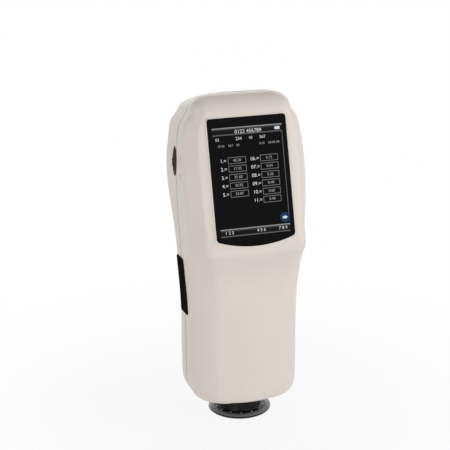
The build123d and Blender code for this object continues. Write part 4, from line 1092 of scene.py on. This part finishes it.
@dataclass
class Studio:
    """Floor, lamps, world and the camera of the photograph. Lengths are in metres."""

    location: Point = (-0.28100192, -0.88798072, 0.43915916)
    target: Point = (-0.00962364, 0.0, 0.14012285)
    roll: float = -0.5762
    lens: float = 111.54
    sensor: float = 36.0
    nearest: float = 0.01
    sky_low: float = 0.68
    sky_high: float = 0.2
    floor_size: float = 60.0
    floor_shade: float = 0.9
    floor_gloss: float = 0.1
    shadow_start: float = 0.05
    shadow_end: float = 0.3
    white_share: float = 0.88
    lamps: tuple[Lamp, ...] = (
        Lamp("key_lamp", (1.3, -0.8, 0.3), 1.5, 15.0),
        Lamp("fill_lamp", (-0.85, -1.05, 0.05), 0.9, 10.0),
        Lamp("back_lamp", (0.3, 1.1, 0.3), 1.2, 5.5),
    )

    def camera(self) -> None:
        """Place the camera and make it the scene's own."""
        data = bpy.data.cameras.new("camera")
        data.lens = self.lens
        data.sensor_width = self.sensor
        data.sensor_fit = "HORIZONTAL"
        data.clip_start = self.nearest
        camera = bpy.data.objects.new("camera", data)
        bpy.context.scene.collection.objects.link(camera)
        aim = Vector(self.target) - Vector(self.location)
        turn = aim.to_track_quat("-Z", "Y").to_matrix().to_4x4()
        roll = Matrix.Rotation(math.radians(self.roll), 4, "Z")
        camera.matrix_world = Matrix.Translation(self.location) @ turn @ roll
        bpy.context.scene.camera = camera

    @staticmethod
    def _seen(nodes: bpy.types.Nodes, links: bpy.types.NodeLinks) -> bpy.types.NodeSocket:
        """Tell the rays that see the background from those that only carry light.

        Args:
            nodes: Nodes of the floor's or the world's tree.
            links: Links of that tree.

        Returns:
            Socket that is 1 for camera, glossy and transmission rays, and 0 for others.
        """
        path = nodes.new("ShaderNodeLightPath")
        mirrored = maths(nodes, "MAXIMUM")
        links.new(path.outputs["Is Camera Ray"], mirrored.inputs[0])
        links.new(path.outputs["Is Glossy Ray"], mirrored.inputs[1])
        seen = maths(nodes, "MAXIMUM")
        links.new(mirrored.outputs[0], seen.inputs[0])
        links.new(path.outputs["Is Transmission Ray"], seen.inputs[1])
        return seen.outputs[0]

    def floor(self) -> None:
        """Lay the pale floor: the camera sees it as white, but for the object's soft shadow."""
        bpy.ops.object.select_all(action="DESELECT")
        bpy.ops.mesh.primitive_plane_add(size=self.floor_size, location=(0, 0, 0))
        floor = bpy.context.object
        floor.name = "floor"
        material = bpy.data.materials.new("floor_white")
        material.use_nodes = True
        nodes, links = material.node_tree.nodes, material.node_tree.links
        shader = nodes["Principled BSDF"]
        out = nodes["Material Output"]
        shader.inputs["Base Color"].default_value = (self.floor_shade, self.floor_shade, self.floor_shade, 1)
        shader.inputs["Roughness"].default_value = 0.9
        shader.inputs["Specular IOR Level"].default_value = self.floor_gloss
        place = nodes.new("ShaderNodeTexCoord")
        reach = nodes.new("ShaderNodeVectorMath")
        reach.operation = "LENGTH"
        fade = nodes.new("ShaderNodeMapRange")
        fade.interpolation_type = "SMOOTHSTEP"
        fade.inputs["From Min"].default_value = self.shadow_start
        fade.inputs["From Max"].default_value = self.shadow_end
        fade.inputs["To Min"].default_value = self.white_share
        links.new(place.outputs["Object"], reach.inputs[0])
        links.new(reach.outputs["Value"], fade.inputs["Value"])
        share = maths(nodes, "MULTIPLY")
        links.new(self._seen(nodes, links), share.inputs[0])
        links.new(fade.outputs["Result"], share.inputs[1])
        white = nodes.new("ShaderNodeEmission")
        white.inputs["Strength"].default_value = 1.0
        mix = nodes.new("ShaderNodeMixShader")
        links.new(share.outputs[0], mix.inputs["Fac"])
        links.new(shader.outputs["BSDF"], mix.inputs[1])
        links.new(white.outputs["Emission"], mix.inputs[2])
        links.new(mix.outputs["Shader"], out.inputs["Surface"])
        floor.data.materials.append(material)

    def world(self) -> None:
        """Light the scene softly from all round and show a white background."""
        world = bpy.data.worlds.new("studio")
        bpy.context.scene.world = world
        world.use_nodes = True
        nodes, links = world.node_tree.nodes, world.node_tree.links
        nodes.clear()
        out = nodes.new("ShaderNodeOutputWorld")
        soft = nodes.new("ShaderNodeBackground")
        soft.inputs["Color"].default_value = (1, 1, 1, 1)
        place = nodes.new("ShaderNodeTexCoord")
        split = nodes.new("ShaderNodeSeparateXYZ")
        fade = nodes.new("ShaderNodeMapRange")
        fade.inputs["From Min"].default_value = 0.0
        fade.inputs["From Max"].default_value = 1.0
        fade.inputs["To Min"].default_value = self.sky_low
        fade.inputs["To Max"].default_value = self.sky_high
        links.new(place.outputs["Generated"], split.inputs["Vector"])
        links.new(split.outputs["Z"], fade.inputs["Value"])
        links.new(fade.outputs["Result"], soft.inputs["Strength"])
        white = nodes.new("ShaderNodeBackground")
        white.inputs["Color"].default_value = (1, 1, 1, 1)
        white.inputs["Strength"].default_value = 1.0
        mix = nodes.new("ShaderNodeMixShader")
        links.new(self._seen(nodes, links), mix.inputs["Fac"])
        links.new(soft.outputs["Background"], mix.inputs[1])
        links.new(white.outputs["Background"], mix.inputs[2])
        links.new(mix.outputs["Shader"], out.inputs["Surface"])

    def build(self) -> None:
        """Build the whole studio."""
        bpy.context.scene.view_settings.view_transform = "Standard"
        self.camera()
        self.floor()
        self.world()
        for lamp in self.lamps:
            lamp.hang()


def dress_nodes() -> None:
    """Give every carried-over CAD node its finish."""
    for name, node in frame["nodes"].items():
        finish = NODE_FINISHES[name]
        node.data.materials.clear()
        node.data.materials.append(finish.material())
        log.info("dressed %s", name)


def main() -> None:
    """Build the studio, dress the frame, smooth the outer pieces and add the screen and the prints."""
    Studio().build()
    dress_nodes()
    surfaces = {name: SmoothCopy(name).build() for name in OUTER_NODES}
    Screen(Panel()).build()
    DialMarks(surfaces["front_shell"]).build()
    # painted highlight on the cap's rim
    CapRimHighlight(surfaces["calibration_cap"]).build()
    CapMarks(surfaces["calibration_cap"]).build()


if __name__ == "__main__":
    logging.basicConfig(level=logging.INFO)
    main()
